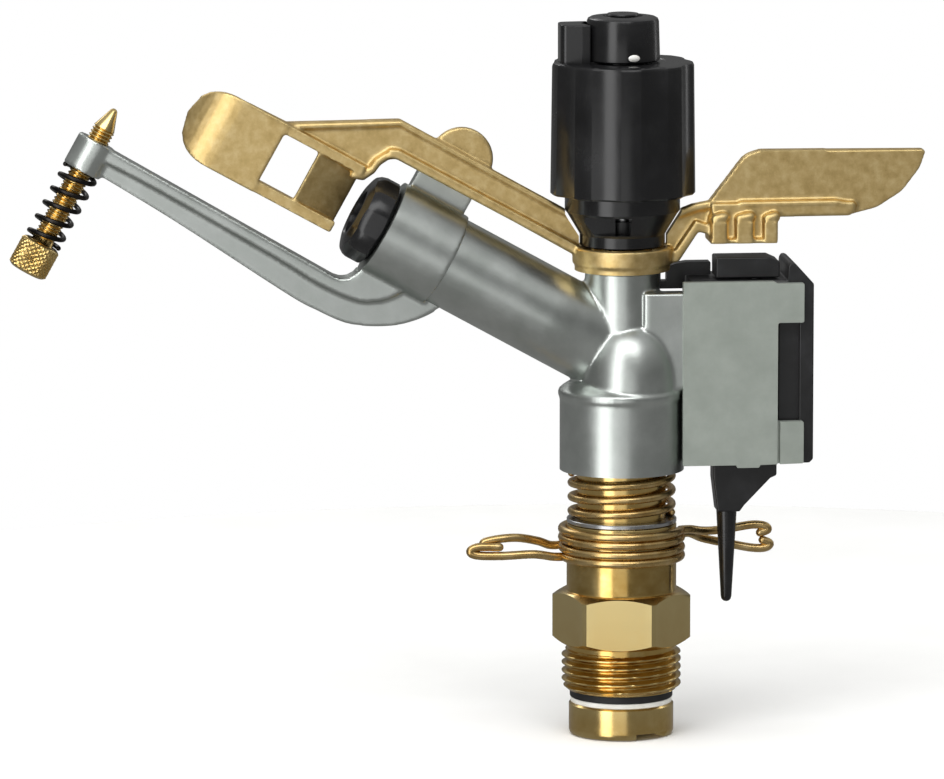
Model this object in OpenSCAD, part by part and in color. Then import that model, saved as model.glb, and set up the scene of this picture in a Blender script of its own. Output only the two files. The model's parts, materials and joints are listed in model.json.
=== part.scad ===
// Part-circle impact sprinkler with a male pipe thread.
// The riser axis is Z. The origin is on that axis at the shoulder where the hexagon meets the
// inlet thread. The barrel leans towards -X in the plane Y = 0, and the drive arm swings to -Y.

/* [Inlet] */
// Crest diameter of the inlet thread
thread_d = 26.44; // [20:0.02:34]
// Length of the inlet thread below the hexagon
thread_len = 10.4; // [7:0.1:16]
// Size of the hexagon across its flats
hex_af = 27; // [24:0.5:36]
// Height of the hexagon
hex_h = 11.8; // [8:0.1:16]
// Diameter of the neck that carries the trip collars
neck_d = 24.3; // [22:0.1:30]
// Length of the neck above the hexagon
neck_len = 15.2; // [12:0.1:20]
// Turn of the hexagon about the riser axis, in degrees
hex_turn = 51; // [0:1:59]

/* [Bearing] */
// Outer diameter of the turning bearing tube
tube_d = 19.6; // [16:0.1:21]
// Waterway diameter through the bearing tube
waterway_d = 15; // [10:0.1:16]
// Diameter of the foot flange under the thread
foot_d = 23.2; // [21:0.1:26]
// Height of the foot flange
foot_h = 7.2; // [4:0.1:10]
// Thickness of the hard thrust washer
thrust_t = 1.2; // [0.8:0.1:2]
// Thickness of the soft seal washer
seal_t = 1.7; // [1:0.1:3]
// Thickness of the washer under the bearing spring
seat_t = 1; // [0.6:0.1:2]
// Wire diameter of the bearing spring
bearing_wire = 1.7; // [1:0.1:2.2]
// Outer diameter of the bearing spring
bearing_spring_d = 24; // [22:0.1:27]
// Compressed length of the bearing spring
bearing_spring_len = 10.6; // [8:0.1:18]
// Number of turns in the bearing spring
bearing_turns = 3.5; // [2:0.5:5]

/* [Body casting] */
// Diameter of the socket at the foot of the casting
socket_d = 27.5; // [24:0.1:34]
// Height of the socket
socket_h = 18.1; // [14:0.1:26]
// Diameter of the dome above the socket
dome_d = 23; // [20:0.1:30]
// Height of the dome's top above the socket
dome_h = 15; // [12:0.1:20]
// Diameter of the post that carries the arm
post_d = 16.4; // [13:0.1:20]
// Height of the post's top above the socket
post_h = 25.9; // [22:0.1:36]
// Angle of the barrel above horizontal, in degrees
barrel_tilt = 29; // [22:1:34]
// Height above the socket's foot at which the barrel's axis meets the riser's
barrel_rise = 25.5; // [22:0.1:30]
// Outer diameter of the barrel
barrel_d = 20; // [17:0.1:24]
// Length of the barrel from the riser axis to its mouth
barrel_len = 60.6; // [54:0.1:76]
// Waterway diameter through the barrel
barrel_bore_d = 14.4; // [10:0.1:16]
// Thickness of the web between the post and the reversing unit
web_t = 4; // [2:0.1:6]

/* [Nozzle] */
// Diameter of the jet opening
jet_d = 4.4; // [3:0.1:8]
// Length of the nozzle in front of the barrel
nozzle_len = 6.9; // [5:0.1:12]
// Diameter of the nozzle's head
nozzle_d = 19.6; // [16:0.1:21]

/* [Jet breaker] */
// Length of the collar that clamps the bracket on the barrel
collar_len = 15.8; // [10:0.1:20]
// Wall of that collar
collar_wall = 0.65; // [0.5:0.05:3]
// Distance along the barrel from the riser axis to the breaker screw
breaker_s = 124.8; // [118:0.1:140]
// Distance from the jet's axis down to the top of the boss
breaker_drop = 13.3; // [10:0.1:18]
// Thickness of the bracket arm, front to back
bracket_t = 7; // [4:0.1:9]
// Diameter of the boss on the bracket
boss_d = 8.8; // [7.5:0.1:12]
// Height of the boss
boss_h = 7; // [5:0.1:10]
// Shank diameter of the breaker screw
screw_d = 5; // [3:0.1:5.6]
// Diameter of the knurled head
screw_head_d = 9; // [7:0.1:12]
// Height of the knurled head
screw_head_h = 7.2; // [5:0.1:10]
// Shank showing between the boss and the head
screw_gap = 18.3; // [14:0.1:24]
// Length of the screw above the boss, its point included
screw_point = 8.2; // [6:0.1:10]
// Travel of the breaker screw towards the jet
screw_travel = 5; // [2:0.5:8]
// Wire diameter of the breaker spring
breaker_wire = 1.1; // [0.6:0.1:1.4]
// Outer diameter of the breaker spring
breaker_spring_d = 8.7; // [7.6:0.1:9.4]
// Number of turns in the breaker spring
breaker_turns = 5.5; // [4:0.5:8]

/* [Drive arm] */
// Outer diameter of the arm's hub
hub_d = 22; // [18:0.1:28]
// Height of the arm's hub
hub_h = 5; // [4:0.1:8]
// Thickness of the arm's plate
arm_t = 3; // [2:0.1:4]
// Width of the stiffening flange along the arm, front to back
arm_flange_w = 6; // [4:0.1:7]
// Width of the spoon across the jet
spoon_w = 16.8; // [14:0.1:22]
// Distance along the jet from the riser axis to the spoon's far end
spoon_end = 111; // [106:0.1:118]
// Reach of the counterweight paddle from the riser axis
paddle_reach = 67.5; // [56:0.1:76]
// Thickness of the counterweight paddle
paddle_t = 3.4; // [2:0.1:5]
// Swing of the drive arm, in degrees
arm_swing = 70; // [30:1:90]

/* [Spring cap] */
// Diameter of the cap that covers the arm spring
cap_d = 32.1; // [26:0.1:40]
// Height of the cap's wide barrel
cap_h = 29.3; // [22:0.1:40]
// Wall of the cap
cap_wall = 2.2; // [1.4:0.1:3]
// Diameter of the tension knob
knob_d = 16.4; // [12:0.1:19]
// Height of the tension knob above the cap
knob_h = 10; // [7:0.1:14]
// Diameter of the pivot pin
pin_d = 6; // [4:0.1:7]
// Wire diameter of the arm spring
arm_wire = 1.6; // [1:0.1:2]

/* [Reversing unit] */
// Distance from the riser axis to the left edge of the cover plate
unit_x = 12.5; // [11:0.1:18]
// Width of the cover plate
cover_w = 21; // [18:0.1:28]
// Height of the cover plate
cover_h = 40.8; // [36:0.1:50]
// Depth of the reversing unit, front to back
unit_depth = 18; // [15:0.1:24]
// Thickness of the cover plate
cover_t = 1.8; // [1:0.1:3]
// Wall of the reversing unit's housing
housing_wall = 2.2; // [1.5:0.1:3]
// Diameter of the trip shaft
shaft_d = 3.2; // [2.4:0.1:4]
// Length of the trip finger below its lever
finger_len = 28; // [22:0.1:34]
// Largest diameter of the trip finger
finger_d = 5.2; // [3:0.1:6]

/* [Trip collars] */
// Wire diameter of the trip collars
collar_wire = 1.9; // [1.4:0.1:2.4]
// Reach of the collars' handles from the riser axis
handle_reach = 35; // [30:0.5:40]

/* [Fits] */
// Radial clearance of the running fits
run_clear = 0.05; // [0.02:0.01:0.1]
// Gap between moving pieces that must not touch
air_gap = 0.4; // [0.3:0.05:0.8]

/* [Hidden] */
$fn = 64;
sliver = 0.01; // overlap that makes a cut come out clean

// Heights up the riser axis
neck_top = hex_h + neck_len;
socket_z = neck_top + seat_t + bearing_spring_len + 0.3;
socket_top = socket_z + socket_h;
dome_top = socket_top + dome_h;
barrel_z = socket_z + barrel_rise;
post_top = max(socket_top + post_h,
               barrel_z + barrel_d / 2 / cos(barrel_tilt) + hub_d / 2 * tan(barrel_tilt) + 0.5);
foot_top = -thread_len - seal_t - thrust_t;
foot_z = foot_top - foot_h;
washer_t = 0.5;
hub_z = post_top + washer_t;
hub_top = hub_z + hub_h;
cap_z = hub_top + air_gap;
cone_low = 2.6;
cone_h = 5;
skirt_h = 3.9;
cap_body_z = cap_z + cone_low + cone_h + skirt_h;
cap_top = cap_body_z + cap_h;
knob_top = cap_top + knob_h;
cone_d = 18.8;
skirt_d = 25.4;
stem_d = pin_d + 5;

// The bearing tube's top inside the casting's socket, and the waterway's end above the barrel
tube_top = socket_z + 11;
waterway_top = barrel_z + 4;
bead_t = 1.6;
screw_head_n = -breaker_drop - boss_h - screw_gap;
bush_r = pin_d / 2 + 2;
seat_z = cap_top - 6.5;

// The drive arm's plate, spoon and window
arm_front = -arm_t / 2;
arm_back = arm_t / 2;
flange_back = arm_flange_w / 2;
spoon_front = -3.2;
spoon_plate = 1.6;
spoon_rise = 1.7;
vane_s = barrel_len + nozzle_len + 3;
window_s0 = vane_s + 10.6;
window_s1 = window_s0 + 9.3;
strut_n = (hub_z + hub_h / 2 - barrel_z) * cos(barrel_tilt);
lobe_s = vane_s - 18;

// The reversing unit
unit_front = -unit_depth / 2;
unit_back = unit_depth / 2;
cover_x1 = unit_x + cover_w;
spine_x1 = cover_x1 + 8.2;
unit_z0 = socket_z + 1.7;
unit_z1 = unit_z0 + cover_h;
housing_x0 = max(unit_x + 2, socket_d / 2 + 0.6);
shaft_x = cover_x1 - 4;
lever_t = 3.6;
lever_z1 = unit_z0 - air_gap;
lever_z0 = lever_z1 - lever_t;
finger_x = unit_x + 10.9;
pawl_z0 = unit_z1 + air_gap;
pawl_h = min(6, hub_top + 0.9 - pawl_z0);
pawl_z1 = pawl_z0 + pawl_h;
crank_z = unit_z0 + 20;
mount_hole_d = 2.5;
mount_rows = [socket_top + 9, unit_z1 - 7];
cover_hole_d = 2;
cover_holes = [[housing_x0 + 1.1, unit_z0 + 1.7], [housing_x0 + 1.1, unit_z1 - 1.7]];

// The two trip collars sit one above the other on the neck
collar_r = neck_d / 2 + run_clear + collar_wire / 2;
collar_pitch = collar_wire - 0.06;
low_collar_z = neck_top - 3.5 * collar_wire - 0.75;
high_collar_z = low_collar_z + 2 * collar_wire + 0.2;

// Turns children so that local -X runs out along the barrel and local Z stands across it
module on_barrel() {
    translate([0, 0, barrel_z]) rotate([0, barrel_tilt, 0]) children();
}

// Extrudes an X-Z outline between two depths
module slab(front, back) {
    translate([0, back, 0]) rotate([90, 0, 0]) linear_extrude(back - front) children();
}

// Round rod from one point to another
module rod(from, to, r) {
    run = to - from;
    translate(from)
        rotate([0, acos(run[2] / norm(run)), atan2(run[1], run[0])])
            cylinder(h = norm(run), r = r, $fn = 24);
}

// Wire that passes through a list of points, with slightly fuller bends so that they join cleanly
module wire(points, r) {
    for (i = [0 : len(points) - 2]) rod(points[i], points[i + 1], r);
    for (p = points) translate(p) sphere(r * 1.05, $fn = 24);
}

// Helical spring along Z, swept as one closed solid
module coil(turns, mean_r, wire_r, length, steps = 16, sides = 6) {
    n = ceil(turns * steps);
    points = [for (i = [0 : n]) for (j = [0 : sides - 1])
        let (a = 360 * turns * i / n, b = 360 * j / sides, r = mean_r + wire_r * cos(b))
        [r * cos(a), r * sin(a), wire_r + (length - 2 * wire_r) * i / n + wire_r * sin(b)]];
    walls = [for (i = [0 : n - 1]) for (j = [0 : sides - 1])
        let (k = (j + 1) % sides)
        [i * sides + j, (i + 1) * sides + j, (i + 1) * sides + k, i * sides + k]];
    ends = [[for (j = [0 : sides - 1]) j], [for (j = [sides - 1 : -1 : 0]) n * sides + j]];
    polyhedron(points, concat(walls, ends), convexity = 8);
}

// Flat ring between two heights
module ring(z0, z1, outer_r, inner_r) {
    difference() {
        translate([0, 0, z0]) cylinder(h = z1 - z0, r = outer_r);
        translate([0, 0, z0 - 1]) cylinder(h = z1 - z0 + 2, r = inner_r);
    }
}

module inlet_nipple() {
    color("goldenrod") difference() {
        union() {
            translate([0, 0, -thread_len]) cylinder(h = thread_len + sliver, d = thread_d);
            intersection() {
                rotate([0, 0, hex_turn]) cylinder(h = hex_h, d = hex_af / cos(30), $fn = 6);
                cylinder(h = hex_h, d1 = hex_af, d2 = hex_af + 2 * hex_h);
                cylinder(h = hex_h, d1 = hex_af + 2 * hex_h, d2 = hex_af);
            }
            cylinder(h = neck_top, d = neck_d);
        }
        translate([0, 0, -thread_len - 1])
            cylinder(h = thread_len + neck_top + 2, d = tube_d + 2 * run_clear);
    }
}

module bearing_tube() {
    color("darkgoldenrod") difference() {
        union() {
            translate([0, 0, foot_z]) cylinder(h = foot_h, d = foot_d);
            translate([0, 0, foot_z]) cylinder(h = tube_top - foot_z, d = tube_d);
        }
        translate([0, 0, foot_z - 1]) cylinder(h = tube_top - foot_z + 2, d = waterway_d);
        for (turn = [122, 302]) rotate([0, 0, turn])
            translate([waterway_d / 2 - 1, -2, foot_z - 1]) cube([foot_d, 4, 1 + foot_h / 2.5]);
    }
}

module lower_thrust_washer() {
    color("white") ring(foot_top, foot_top + thrust_t, foot_d / 2 - 0.4, tube_d / 2 + run_clear);
}

module lower_seal_washer() {
    color("dimgray")
        ring(foot_top + thrust_t, -thread_len - run_clear, foot_d / 2 - 0.2, tube_d / 2 + run_clear);
}

module spring_seat_washer() {
    color("silver") ring(neck_top + run_clear, neck_top + seat_t, neck_d / 2, tube_d / 2 + run_clear);
}

module bearing_spring() {
    color("goldenrod") translate([0, 0, neck_top + seat_t])
        coil(bearing_turns, (bearing_spring_d - bearing_wire) / 2, bearing_wire / 2,
             bearing_spring_len + 0.3);
}

// One trip collar: two turns of wire and two handles on the side given by 1 for +X or -1 for -X.
// The handles leave the coil at the height of leg_z, and their tips stand at the depth of tip_y.
module trip_collar(z, side, leg_z, tip_y) {
    spread = 1.7;
    ring(z - collar_wire / 2, z + collar_pitch + collar_wire / 2,
         collar_r + collar_wire / 2, collar_r - collar_wire / 2);
    for (k = [0, 1]) {
        fan = 2 * k - 1;
        start = z + k * collar_pitch;
        wire([[side * (collar_r + 0.1), 0, start + 0.05],
              [side * (collar_r + 2.4), tip_y * 0.4, start + 0.05],
              [side * (collar_r + 5.5), tip_y * 0.8, leg_z + fan * spread / 2],
              [side * (handle_reach - 8), tip_y, leg_z + fan * (spread / 2 + 1)],
              [side * (handle_reach - collar_wire / 2), tip_y, leg_z + fan * (spread / 2 + 0.4)]],
             collar_wire / 2);
    }
}

module trip_collar_left() {
    color("goldenrod") trip_collar(low_collar_z, -1, neck_top - 4.9, -3);
}

module trip_collar_right() {
    color("goldenrod") trip_collar(high_collar_z, 1, neck_top - 5.3, 6.4);
}

// Web that ties the post to the reversing unit, with the pad that the unit is screwed to
module unit_web() {
    web_top = unit_z1 - 3.2;
    pad_w = unit_depth - 6.8;
    slab(-web_t / 2, web_t / 2)
        polygon([[0, socket_top - 4], [housing_x0 - 0.5, socket_top - 4], [housing_x0 - 0.5, web_top],
                 [0, web_top]]);
    translate([housing_x0 - 2, -pad_w / 2, socket_top + 0.5])
        cube([2, pad_w, web_top - socket_top - 1.1]);
}

// Outline of the dome from the axis outwards, with its foot sunk below the bead
module dome_outline() {
    steps = 12;
    straight = dome_h * 0.25;
    polygon(concat([[0, -bead_t / 2], [dome_d / 2, -bead_t / 2]],
                   [for (i = [0 : steps]) let (a = 90 * i / steps)
                       [dome_d / 2 * cos(a), straight + (dome_h - straight) * sin(a)]]));
}

module body_casting() {
    color("silver") difference() {
        union() {
            translate([0, 0, socket_z]) cylinder(h = socket_h - bead_t / 2, d = socket_d);
            translate([0, 0, socket_top - bead_t]) cylinder(h = bead_t, d = socket_d + 0.7);
            translate([0, 0, socket_top]) rotate_extrude() dome_outline();
            translate([0, 0, socket_top - bead_t]) cylinder(h = post_top - socket_top + bead_t, d = post_d);
            on_barrel() translate([-barrel_len, 0, 0]) rotate([0, 90, 0])
                cylinder(h = barrel_len, d = barrel_d);
            unit_web();
        }
        // Socket for the bearing tube, and the waterway up to the barrel
        translate([0, 0, socket_z - 1])
            cylinder(h = tube_top - socket_z + 1 + run_clear, d = tube_d + 2 * run_clear);
        translate([0, 0, socket_z]) cylinder(h = waterway_top - socket_z, d = waterway_d);
        on_barrel() translate([-barrel_len - 1, 0, 0]) rotate([0, 90, 0])
            cylinder(h = barrel_len + 2, d = barrel_bore_d);
        // Blind hole for the pivot pin
        translate([0, 0, post_top - 9]) cylinder(h = 10, d = pin_d);
        // Tapped holes for the unit's mounting screws
        for (z = mount_rows) translate([housing_x0 - 8, 0, z]) rotate([0, 90, 0])
            cylinder(h = 9, d = mount_hole_d);
    }
}

// Sleeve with two crossed vanes that calms the flow behind the nozzle
module flow_straightener() {
    outer_r = barrel_bore_d / 2 - run_clear;
    vane_t = 0.9;
    color("dimgray") on_barrel() translate([-barrel_len + 16, 0, 0]) rotate([0, 90, 0]) {
        ring(0, 16, outer_r, outer_r - 0.9);
        for (turn = [0, 90]) rotate([0, 0, turn])
            translate([-outer_r + 0.4, -vane_t / 2, 1]) cube([2 * outer_r - 0.8, vane_t, 14 - turn / 90]);
    }
}

module nozzle() {
    shank_r = barrel_bore_d / 2 - run_clear;
    color("#1c1c1c") on_barrel() rotate([0, -90, 0]) difference() {
        union() {
            translate([0, 0, barrel_len - 12]) cylinder(h = 13, r = shank_r);
            intersection() {
                translate([0, 0, barrel_len + run_clear])
                    cylinder(h = nozzle_len - run_clear, d = nozzle_d);
                translate([0, 0, barrel_len - 1])
                    cylinder(h = nozzle_len + 1, d = nozzle_d / cos(30) - 0.9, $fn = 6);
            }
        }
        translate([0, 0, barrel_len - 13])
            cylinder(h = 13 + nozzle_len - 4, r1 = shank_r - 1, d2 = jet_d);
        translate([0, 0, barrel_len - 13]) cylinder(h = 30, d = jet_d);
        translate([0, 0, barrel_len + nozzle_len - 3.2]) cylinder(h = 4, d = 10.5, $fn = 6);
        translate([0, 0, barrel_len - 7]) rotate_extrude()
            translate([shank_r - 1.2, 0]) square([3, 2]);
    }
}

module nozzle_o_ring() {
    shank_r = barrel_bore_d / 2 - run_clear;
    color("#202020") on_barrel() rotate([0, -90, 0]) translate([0, 0, barrel_len - 6])
        rotate_extrude() translate([shank_r - 0.6, 0]) circle(d = 1.1, $fn = 20);
}

// Bracket that clamps on the barrel and carries the breaker screw below the jet
module breaker_bracket() {
    outer_r = barrel_d / 2 + run_clear + collar_wall;
    top = -breaker_drop;
    inner_s = barrel_len + 0.2;
    bottom = top - boss_h;
    color("silver") on_barrel() difference() {
        union() {
            translate([-barrel_len, 0, 0]) rotate([0, 90, 0]) cylinder(h = collar_len, r = outer_r);
            slab(-bracket_t / 2, bracket_t / 2) polygon(concat(
                [[-breaker_s, top], [-breaker_s + 19, top - 0.4], [-inner_s - 4, top - 1.3]],
                [for (a = [0 : 30 : 90]) [-inner_s - 4 + 4 * sin(a), top + 2.7 - 4 * cos(a)]],
                [[-inner_s, -outer_r + 2], [-inner_s + 19.5, -outer_r + 2],
                 [-inner_s + 19.5, -outer_r + 0.4], [-inner_s + 17.6, bottom + 7],
                 [-inner_s + 15, bottom + 4.3], [-inner_s + 12.6, bottom + 2.2],
                 [-inner_s + 9.6, bottom + 0.2], [-inner_s + 6.2, bottom - 1.3],
                 [-inner_s + 2.2, bottom - 2.4], [-inner_s - 4, bottom - 2.8],
                 [-inner_s - 12, bottom - 2.7], [-breaker_s + 23, bottom - 0.2],
                 [-breaker_s, bottom + 1]]));
            translate([-breaker_s, 0, bottom]) cylinder(h = boss_h, d = boss_d);
            arm_stop(outer_r);
        }
        translate([-barrel_len - 30, 0, 0]) rotate([0, 90, 0])
            cylinder(h = barrel_len + 40, d = barrel_d + 2 * run_clear);
        translate([-breaker_s, 0, bottom - 1]) cylinder(h = boss_h + 2, d = screw_d + 2 * run_clear);
    }
}

// Lug on top of the collar that the drive arm comes back to
module arm_stop(outer_r) {
    front = flange_back + air_gap / 2;
    foot_n = outer_r - 6.5;
    top_n = outer_r + 13.3;
    translate([-barrel_len, 0, 0]) slab(front, front + 4)
        polygon([[1.6, foot_n], [15.1, foot_n], [15.1, top_n - 2.5], [12.6, top_n], [4.6, top_n],
                 [1.6, top_n - 3]]);
}

module breaker_screw() {
    point_n = -breaker_drop + screw_point;
    color("goldenrod") on_barrel() translate([-breaker_s, 0, 0]) {
        translate([0, 0, screw_head_n - screw_head_h]) cylinder(h = screw_head_h, d = screw_head_d);
        translate([0, 0, screw_head_n - sliver])
            cylinder(h = point_n - 5 - screw_head_n + sliver, d = screw_d);
        translate([0, 0, point_n - 5]) cylinder(h = 5, d1 = screw_d, d2 = 1.2);
    }
}

module breaker_spring() {
    color("dimgray") on_barrel() translate([-breaker_s, 0, screw_head_n + run_clear])
        coil(breaker_turns, (breaker_spring_d - breaker_wire) / 2, breaker_wire / 2,
             screw_gap - 2 * run_clear);
}

// Spoon of the drive arm in the barrel's frame: an end plate, two lips past a window, and a vane
module spoon() {
    half = spoon_w / 2;
    vane_back = 3;
    tail_s = spoon_end - 4;
    top_lip = 2.4;
    bottom_lip = 2.8;
    slab(spoon_front, spoon_front + spoon_plate) intersection() {
        translate([-tail_s, -half]) square([tail_s - window_s1, 2 * half]);
        translate([-spoon_end + half + 2, 0]) circle(r = half + 3.4);
    }
    // Far end, turned back across the jet
    intersection() {
        translate([-tail_s + 0.8, spoon_front + 0.25, 0.3 - half]) rotate([0, 0, -38])
            translate([-7, 0, 0]) cube([7, spoon_plate, 2 * half - 0.6]);
        translate([-spoon_end + half + 0.5, 10, 0]) rotate([90, 0, 0]) cylinder(h = 20, r = half + 0.5);
    }
    // Vane between the window and the nozzle
    translate([0, 0, 0.5 - half]) linear_extrude(2 * half - 1)
        polygon([[-window_s0, spoon_front + 0.6], [-window_s0, spoon_front + 0.6 + spoon_plate],
                 [-vane_s - 0.5, vane_back - 0.5], [-vane_s - 0.5, vane_back - 0.5 - spoon_plate]]);
    // Lips along the top and bottom edges
    for (lip = [[0.1 - half, bottom_lip], [half - 0.1 - top_lip, top_lip]])
        translate([-window_s1 - 3, spoon_front + 0.3, lip[0]])
            cube([window_s1 + 3 - vane_s, vane_back - spoon_front - 0.6, lip[1]]);
}

// Strut of the drive arm in the barrel's frame: a bar beside the barrel and a neck down to the spoon
module strut() {
    low_n = strut_n - 3.9;
    high_n = strut_n + 3.7;
    slab(arm_front, arm_back)
        polygon([[-21, low_n - 0.6], [-vane_s + 5, low_n], [-vane_s + 3, low_n - 0.7],
                 [-vane_s + 1.8, low_n - 2.9], [-vane_s + 1.5, 9.8], [-vane_s + 0.4, 7.6],
                 [-vane_s - 1.5, 7.1], [-window_s1 - 0.7, 9.7], [-vane_s + 1.8, high_n],
                 [-22.4, high_n - 0.2]]);
    // Lower flange
    slab(-flange_back, flange_back)
        polygon([[-16.3, low_n - 0.2], [-vane_s + 5.2, low_n - 0.4], [-vane_s + 2.4, low_n + 1.3],
                 [-vane_s + 5.5, low_n + 2], [-16.3, low_n + 2.4]]);
}

module hammer_arm() {
    color("darkkhaki") difference() {
        union() {
            translate([0, 0, hub_z]) cylinder(h = hub_h, d = hub_d);
            on_barrel() strut();
            // Balance lobe on the strut's upper edge
            on_barrel() translate([-lobe_s, arm_back - 0.2, strut_n + 2.5]) rotate([90, 0, 0])
                cylinder(h = arm_t - 0.4, r = 7);
            on_barrel() translate([0, 0, spoon_rise]) spoon();
            counterweight();
        }
        // The hub carries the bush, and clears the cap and its skirt
        translate([0, 0, hub_z - 1]) cylinder(h = hub_h + 2, r = bush_r);
        translate([0, 0, hub_top - 1.6]) cylinder(h = 2, r = hub_d / 2 - 1.4);
        translate([0, 0, hub_top + 0.15])
            cylinder(h = cap_body_z - hub_top, r = skirt_d / 2 + air_gap);
        translate([0, 0, cap_body_z - air_gap]) cylinder(h = cap_h, r = cap_d / 2 + 2 * air_gap);
    }
}

// Strut, grooved block and paddle on the far side of the hub
module counterweight() {
    block_z = pawl_z1 + 1.6;
    block_front = -5.5;
    block_x = 18.9;
    slab(-flange_back, flange_back)
        polygon([[9.4, hub_z + 1.6], [12.3, hub_z + 2.3], [16.3, hub_z + 8.4], [19.5, hub_z + 7.6],
                 [19.5, hub_z + 14.9], [15.6, hub_z + 14.3], [12.7, hub_z + 13.2], [9.4, hub_z + 8]]);
    difference() {
        translate([block_x, block_front, block_z]) cube([14.4, 10, hub_z + 11.9 - block_z]);
        for (x = [4.2, 9.7]) translate([block_x + x, block_front, block_z])
            rotate([0, 0, 45]) cube([2, 2, 20], center = true);
    }
    slab(-paddle_t / 2, paddle_t / 2)
        polygon([[19.2, hub_z + 15], [27.1, hub_z + 25.2], [29.7, hub_z + 26.2],
                 [paddle_reach - 0.3, hub_z + 25.9], [paddle_reach, hub_z + 25.3],
                 [paddle_reach - 1.6, hub_z + 21.8], [paddle_reach - 5.5, hub_z + 16.7],
                 [paddle_reach - 11.1, hub_z + 13.1], [paddle_reach - 16.7, hub_z + 11.7],
                 [30, hub_z + 11.5], [19.2, hub_z + 11]]);
    // Flange along the paddle's lower edge
    slab(-flange_back + 0.2, flange_back - 0.2)
        polygon([[29.4, hub_z + 15.3], [51.2, hub_z + 15], [paddle_reach - 17, hub_z + 11.4],
                 [30, hub_z + 11.2]]);
}

module arm_bush() {
    color("#303030") difference() {
        translate([0, 0, hub_z]) cylinder(h = hub_h + 6, r = bush_r);
        translate([0, 0, hub_z - 1]) cylinder(h = hub_h + 8, d = pin_d + 2 * run_clear);
    }
}

module arm_washer() {
    color("white") ring(post_top, hub_z - run_clear, post_d / 2 - 0.6, pin_d / 2 + run_clear);
}

module pivot_pin() {
    color("lightgray") translate([0, 0, post_top - 9])
        cylinder(h = knob_top - 2 - post_top + 9, d = pin_d);
}

module arm_spring() {
    color("dimgray") translate([0, 0, hub_top + 6.3])
        coil(6, bush_r + arm_wire / 2 + 0.6, arm_wire / 2, seat_z - hub_top - 6.6, 14);
}

// Cover of the arm spring, with shallow flutes and a lug beside the knob
module spring_cap() {
    color("#181818") difference() {
        union() {
            translate([0, 0, cap_z]) cylinder(h = cone_low, d = cone_d);
            translate([0, 0, cap_z + cone_low - sliver]) cylinder(h = cone_h, d1 = cone_d, d2 = skirt_d);
            translate([0, 0, cap_body_z - skirt_h - sliver]) cylinder(h = skirt_h + 1, d = skirt_d);
            difference() {
                translate([0, 0, cap_body_z]) cylinder(h = cap_h, d = cap_d);
                for (i = [0 : 8]) rotate([0, 0, 40 * i + 10])
                    translate([cap_d / 2 + 11.5, 0, cap_body_z - 1]) cylinder(h = cap_h + 2, r = 12.3);
            }
            difference() {
                translate([-14.1, -4.2, cap_top - sliver]) cube([7, 8.4, knob_h - 1.6]);
                translate([0, 0, cap_top - 1]) cylinder(h = knob_h + 2, r = knob_d / 2 + air_gap);
            }
        }
        translate([0, 0, cap_z - 1]) cylinder(h = cap_h, r = cone_d / 2 - cap_wall);
        translate([0, 0, cap_body_z + cap_wall])
            cylinder(h = cap_h - 2 * cap_wall, r = cap_d / 2 - cap_wall - 0.8);
        translate([0, 0, cap_top - cap_wall - 1]) cylinder(h = cap_wall + 2, r = stem_d / 2 + run_clear);
        translate([-cone_d / 2 + 1, -skirt_d, cap_body_z - skirt_h - 2])
            cube([2.6, skirt_d - 6, 4.2]);
    }
}

// Disc inside the cap that the arm spring's upper end turns with
module spring_seat() {
    color("dimgray") difference() {
        translate([0, 0, seat_z]) cylinder(h = cap_top - cap_wall - air_gap - seat_z, r = bush_r + 4.5);
        translate([0, 0, seat_z - 1]) cylinder(h = cap_h, r = stem_d / 2);
    }
}

module tension_knob() {
    color("#141414") difference() {
        union() {
            translate([0, 0, seat_z]) cylinder(h = cap_top + air_gap - seat_z, d = stem_d);
            translate([0, 0, cap_top + air_gap / 2]) cylinder(h = knob_h - air_gap / 2, d = knob_d);
        }
        translate([0, 0, seat_z - 1]) cylinder(h = cap_h, d = pin_d + 2 * run_clear);
    }
}

module knob_clip() {
    color("silver") ring(knob_top, knob_top + 0.8, 3.6, 0.6);
}

// Housing of the reversing unit: floor, back, spine and top, open to the front
module reversing_housing() {
    color("#1e1e1e") difference() {
        slab(unit_front + cover_t + run_clear, unit_back)
            polygon([[housing_x0, unit_z0], [spine_x1, unit_z0], [spine_x1, unit_z1 - 0.9],
                     [spine_x1 - 5, unit_z1 + pawl_h], [spine_x1 - 6.1, unit_z1 + pawl_h],
                     [spine_x1 - 6.6, unit_z1], [housing_x0, unit_z1]]);
        // Chamber for the crank and the toggle spring
        translate([housing_x0 + housing_wall, unit_front, unit_z0 + housing_wall + 1])
            cube([spine_x1 - housing_x0 - 2 * housing_wall, unit_depth - housing_wall,
                  cover_h - 2 * housing_wall - 2]);
        // Bores for the trip shaft
        translate([shaft_x, 0, unit_z0 - 1]) cylinder(h = cover_h + 2, d = shaft_d + 2 * run_clear);
        // Recess that bares the spine beside the cover
        translate([cover_x1, unit_front, unit_z0 + 8])
            cube([5.6, 3.6, cover_h - 18.7]);
        for (z = mount_rows) translate([housing_x0 - 1, 0, z]) rotate([0, 90, 0])
            cylinder(h = housing_wall + 2, d = mount_hole_d + 0.6);
        for (p = cover_holes) translate([p[0], unit_front, p[1]]) rotate([-90, 0, 0])
            cylinder(h = 9, d = cover_hole_d);
    }
}

module housing_cover() {
    color("#9aa098") slab(unit_front, unit_front + cover_t) {
        translate([unit_x, unit_z0]) square([cover_w, cover_h]);
        translate([cover_x1 - 1, unit_z1 - 10.7]) square([6.8, 10.2]);
        translate([cover_x1 - 1, unit_z0 + 0.2]) square([6.8, 7.8]);
        // Small tab below the plate
        translate([unit_x + 11.8, unit_z0 - 0.6]) square([5.4, 2]);
    }
}

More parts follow.
